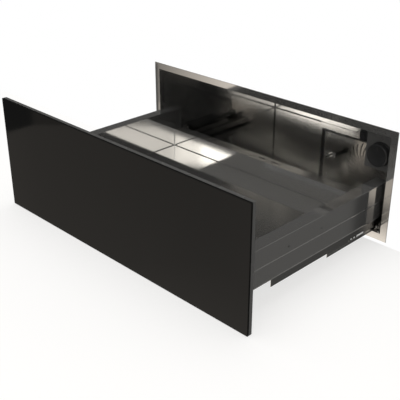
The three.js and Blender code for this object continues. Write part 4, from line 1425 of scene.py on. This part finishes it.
@dataclass
class Cards:
    """Dark cards all round and light ones low in front, that only polished surfaces show."""

    floor_level: float
    half: float = 4.5
    top: float = 4.2
    waist: float = -0.4
    knee: float = -0.9
    bend: float = -1.55
    bottom: float = -3.0
    corner: float = 3.3
    step: float = 0.05
    fine_step: float = 0.03
    warmth: Colour = (1.0, 0.985, 0.955)
    cream: Colour = (0.77, 0.705, 0.632)
    front_grey: Colour = (0.22, 0.217, 0.21)
    left_end: float = -1.6
    right_start: float = 2.3
    middle_span: Pair = (-2.25, -1.6)
    middle_top: float = -2.3
    carpet_end: float = -2.0
    carpet_lift: float = 0.01
    back_flag_span: Pair = (2.0, 3.36)
    flag_corners: Sequence[Pair] = ((-0.362, 0.0), (-1.05, 0.6085), (-2.2, 0.6185), (-2.2, 0.0))

    def card(self, name: str, shader: Shader, *faces: Ring) -> None:
        """A card that only polished surfaces show.

        Args:
            name: its name.
            shader: its glow.
            faces: the corners of each face.
        """
        stage_piece(name, faces, shader, ("camera", "diffuse", "transmission", "shadow"))

    def grey(self, name: str, level: float, *faces: Ring) -> None:
        """An evenly glowing, warm grey card.

        Args:
            name: its name.
            level: how light it is, from zero to one.
            faces: the corners of each face.
        """
        shader = Shader(bpy.data.materials.new(name))
        shader.show(shader.emission([level * channel for channel in self.warmth]))
        self.card(name, shader, *faces)

    def fading(self, name: str, colour: Colour, axis: str, span: Pair, levels: Pair,
               *faces: Ring) -> None:
        """A card whose glow changes evenly along an axis.

        Args:
            name: its name.
            colour: its colour.
            axis: X, Y or Z.
            span: where the change begins and ends.
            levels: strength before and after it.
            faces: the corners of each face.
        """
        shader = Shader(bpy.data.materials.new(name))
        before, after = (shader.emission(colour, level) for level in levels)
        place = shader.node("ShaderNodeSeparateXYZ", {0: shader.place()}, out=axis)
        mix = {0: place.spread(*span), 1: before, 2: after}
        shader.show(shader.node("ShaderNodeMixShader", mix))
        self.card(name, shader, *faces)

    def build(self) -> None:
        """Hangs the dark cards, then the light ones."""
        half, bottom, waist, top = self.half, self.bottom, self.waist, self.top
        square = rectangle(-half, half, -half, half)
        near_left, near_right, far_right, far_left = square
        left, back, right = (near_left, far_left), (far_left, far_right), (near_right, far_right)
        self.grey("floor_card", 0.066, level_face(square, bottom))
        self.grey("low_cards", 0.068, *(wall(*ends, bottom, waist) for ends in (left, back, right)))
        self.grey("high_cards", 0.053, wall(*left, waist, top), wall(*back, waist, top),
                  level_face(square, top))
        self.grey("bright_cards", 0.22, wall(*right, waist, top))
        self.fading("front_card", self.front_grey, "X", (-1.0, 1.5), (0.38, 1.0),
                    wall(near_left, near_right, self.knee, top))
        self.light_cards()
        far = half - self.step - self.fine_step
        start, end = self.back_flag_span
        self.grey("back_flag", 0.012, wall((start, far), (end, far), bottom, waist))
        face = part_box("front_flange")[0].y
        flag = [(x, face - setback) for x, setback in self.flag_corners]
        self.grey("flag", 0.045, level_face(flag, self.floor_level + 1 * MM))

    def light_cards(self) -> None:
        """Hangs the light cards in front, inside the dark ones."""
        near, bottom, bend = self.half - self.step, self.bottom, self.bend
        nearer = near - self.fine_step
        cut = (-near, -self.corner), (-self.corner, -near)
        front = (-self.corner, -near), (near, -near)
        self.fading("light_high", self.cream, "X", (-4.15, -3.65), (0.28, 0.9),
                    wall(*cut, bend, self.knee), wall(*front, bend, self.knee))
        carpet = rectangle(-near, near, -near, self.carpet_end)
        self.fading("light_low", self.cream, "X", (-near, -2.0), (0.48, 1.05),
                    wall(*cut, bottom, bend), wall(*front, bottom, bend),
                    wall((-near, -self.corner), (-near, self.left_end), bottom, bend),
                    level_face(carpet, bottom + self.carpet_lift))
        self.fading("light_right", self.cream, "Z", (-2.28, -2.12), (0.09, 0.62),
                    wall((self.right_start, -nearer), (near, -nearer), bottom, bend))
        start, end = self.middle_span
        self.fading("light_middle", self.cream, "Z", (-2.56, -2.38), (1.3, 0.5),
                    wall((start, -nearer), (end, -nearer), bottom, self.middle_top))


@dataclass
class Studio:
    """Camera, world, floor, niche wall, cards and lamps."""

    floor_level: float
    azimuth: float = 45.24
    elevation: float = 26.08
    eye: Sequence[float] = (1.09356, -1.56515, 0.79446)
    target: Sequence[float] = (0.0, -0.3, 0.1)
    focal_px: float = 747.37
    photo_px: float = 400.0
    sensor: float = 36.0
    clip: Pair = (0.05, 60.0)
    ambient: float = 0.55
    floor_reach: float = 9.0
    floor_glow: float = 0.66
    floor_light: Colour = (1.0, 0.995, 0.985)
    floor_grey: Colour = (0.42, 0.415, 0.41)
    wall_reach: float = 3.0
    wall_head: float = 2.4
    wall_foot: float = -0.2
    wall_setback: float = 1.65 * MM
    side_gap: float = 2.5 * MM
    lap: float = 1.5 * MM
    strip_colour: Colour = (1.0, 0.98, 0.945)
    strip_height: float = 0.21
    strip_setback: float = 0.05
    strip_parts: Sequence[tuple[float, float, float]] = (
        (-0.725, -0.15, 3.1), (-0.15, 0.0, 1.6), (0.0, 0.6, 0.95))
    top_place: Sequence[float] = (-0.3, -0.6, 2.6)
    top_size: float = 2.4
    top_power: float = 25.0

    def back(self) -> Vector:
        """Direction from the object to the camera.

        Returns:
            The unit direction.
        """
        turn, rise = math.radians(self.azimuth), math.radians(self.elevation)
        level = math.cos(rise)
        return Vector((math.sin(turn) * level, -math.cos(turn) * level, math.sin(rise)))

    def camera(self) -> None:
        """Sets the camera where the photograph was taken from."""
        data = bpy.data.cameras.new("camera")
        data.sensor_width = self.sensor
        data.lens = self.focal_px / self.photo_px * data.sensor_width
        data.clip_start, data.clip_end = self.clip
        made = placed("camera", data)
        aim(made, self.eye, -self.back())
        bpy.context.scene.camera = made

    def world(self) -> None:
        """A white world to look at and to reflect, that lights the object with a plain grey."""
        bpy.context.scene.world = bpy.data.worlds.new("studio")
        shader = Shader(bpy.context.scene.world)
        seen, glossy, clear = (
            shader.node("ShaderNodeLightPath", out=f"Is {rays} Ray")
            for rays in ("Camera", "Glossy", "Transmission"))
        plain, white = (
            shader.node("ShaderNodeBackground", {"Color": (1, 1, 1), "Strength": strength})
            for strength in (self.ambient, 1.0))
        mix = {0: seen.either(glossy).either(clear), 1: plain, 2: white}
        shader.show(shader.node("ShaderNodeMixShader", mix))

    def floor(self) -> None:
        """A plain pale floor that keeps the object's shadow."""
        shader = Shader(bpy.data.materials.new("floor"))
        glow = shader.emission(self.floor_light, self.floor_glow)
        matt = shader.node("ShaderNodeBsdfDiffuse", {"Color": self.floor_grey})
        shader.show(shader.node("ShaderNodeAddShader", {0: glow, 1: matt}))
        reach = self.floor_reach
        face = level_face(rectangle(-reach, reach, -reach, reach), self.floor_level)
        stage_piece("floor", [face], shader, ("diffuse", "glossy"))

    def niche_wall(self) -> None:
        """White wall round the niche, clear from behind: the drawer is built in."""
        low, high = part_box("front_flange")
        case_low, case_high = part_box("casing_back")
        y = low.y + self.wall_setback
        left, right = case_low.x - self.side_gap, case_high.x + self.side_gap
        bottom, top = -self.lap, high.z - self.lap
        reach, foot, head = self.wall_reach, self.wall_foot, self.wall_head
        shader = Shader(bpy.data.materials.new("niche_wall"))
        behind = shader.node("ShaderNodeNewGeometry", out="Backfacing")
        clear = shader.node("ShaderNodeBsdfTransparent")
        mix = {0: behind, 1: shader.emission((1, 1, 1)), 2: clear}
        shader.show(shader.node("ShaderNodeMixShader", mix))
        faces = [
            wall((-reach, y), (left, y), foot, head),
            wall((right, y), (reach, y), foot, head),
            wall((left, y), (right, y), top, head),
            wall((left, y), (right, y), foot, bottom),
        ]
        stage_piece("niche_wall", faces, shader, ("diffuse", "glossy", "transmission", "shadow"))

    def softbox(self, name: str, place: Vector, target: Vector, size: Pair, power: float,
                colour: Colour, glossy: bool) -> None:
        """A soft rectangular lamp.

        Args:
            name: its name.
            place: its middle.
            target: the point that it faces.
            size: its width and height.
            power: in watts.
            colour: its colour.
            glossy: True where polished steel shows it.
        """
        data = bpy.data.lights.new(name, "AREA")
        data.shape = "RECTANGLE"
        data.size, data.size_y = size
        data.energy = power
        data.color = colour
        made = placed(name, data)
        aim(made, place, target - place)
        made.visible_camera = False
        made.visible_glossy = glossy

    def lamps(self) -> None:
        """A strip light at the camera, dimmer at one end, and a soft lamp that steel doesn't show.

        The polished corners of the tray and cavity throw the strip light back.
        """
        target = Vector(self.target)
        place = Vector(self.eye) + self.back() * self.strip_setback
        across = (target - place).to_track_quat("-Z", "Y") @ Vector((1, 0, 0))
        for i, (start, end, radiance) in enumerate(self.strip_parts):
            shift = (start + end) / 2 * across
            size = (end - start, self.strip_height)
            power = radiance * math.pi * (end - start) * self.strip_height
            self.softbox(f"strip_{i}", place + shift, target + shift, size, power,
                         self.strip_colour, glossy=True)
        self.softbox("top", Vector(self.top_place), target, (self.top_size, self.top_size),
                     self.top_power, (1, 1, 1), glossy=False)

    def build(self) -> None:
        """Makes the whole set."""
        self.camera()
        self.world()
        self.floor()
        self.niche_wall()
        Cards(self.floor_level).build()
        self.lamps()


def main() -> None:
    """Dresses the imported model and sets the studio."""
    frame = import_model()
    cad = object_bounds()
    bpy.context.scene.view_settings.view_transform = "Standard"
    bench = Bench(frame)
    bench.dress_nodes()
    for assembly in (Casing, Cavity, Controls, Runners, DrawerBox):
        LOG.info("building %s", assembly.__name__)
        assembly(bench).build()
    Studio(cad[0].z - 1 * MM).build()


if __name__ == "__main__":
    main()
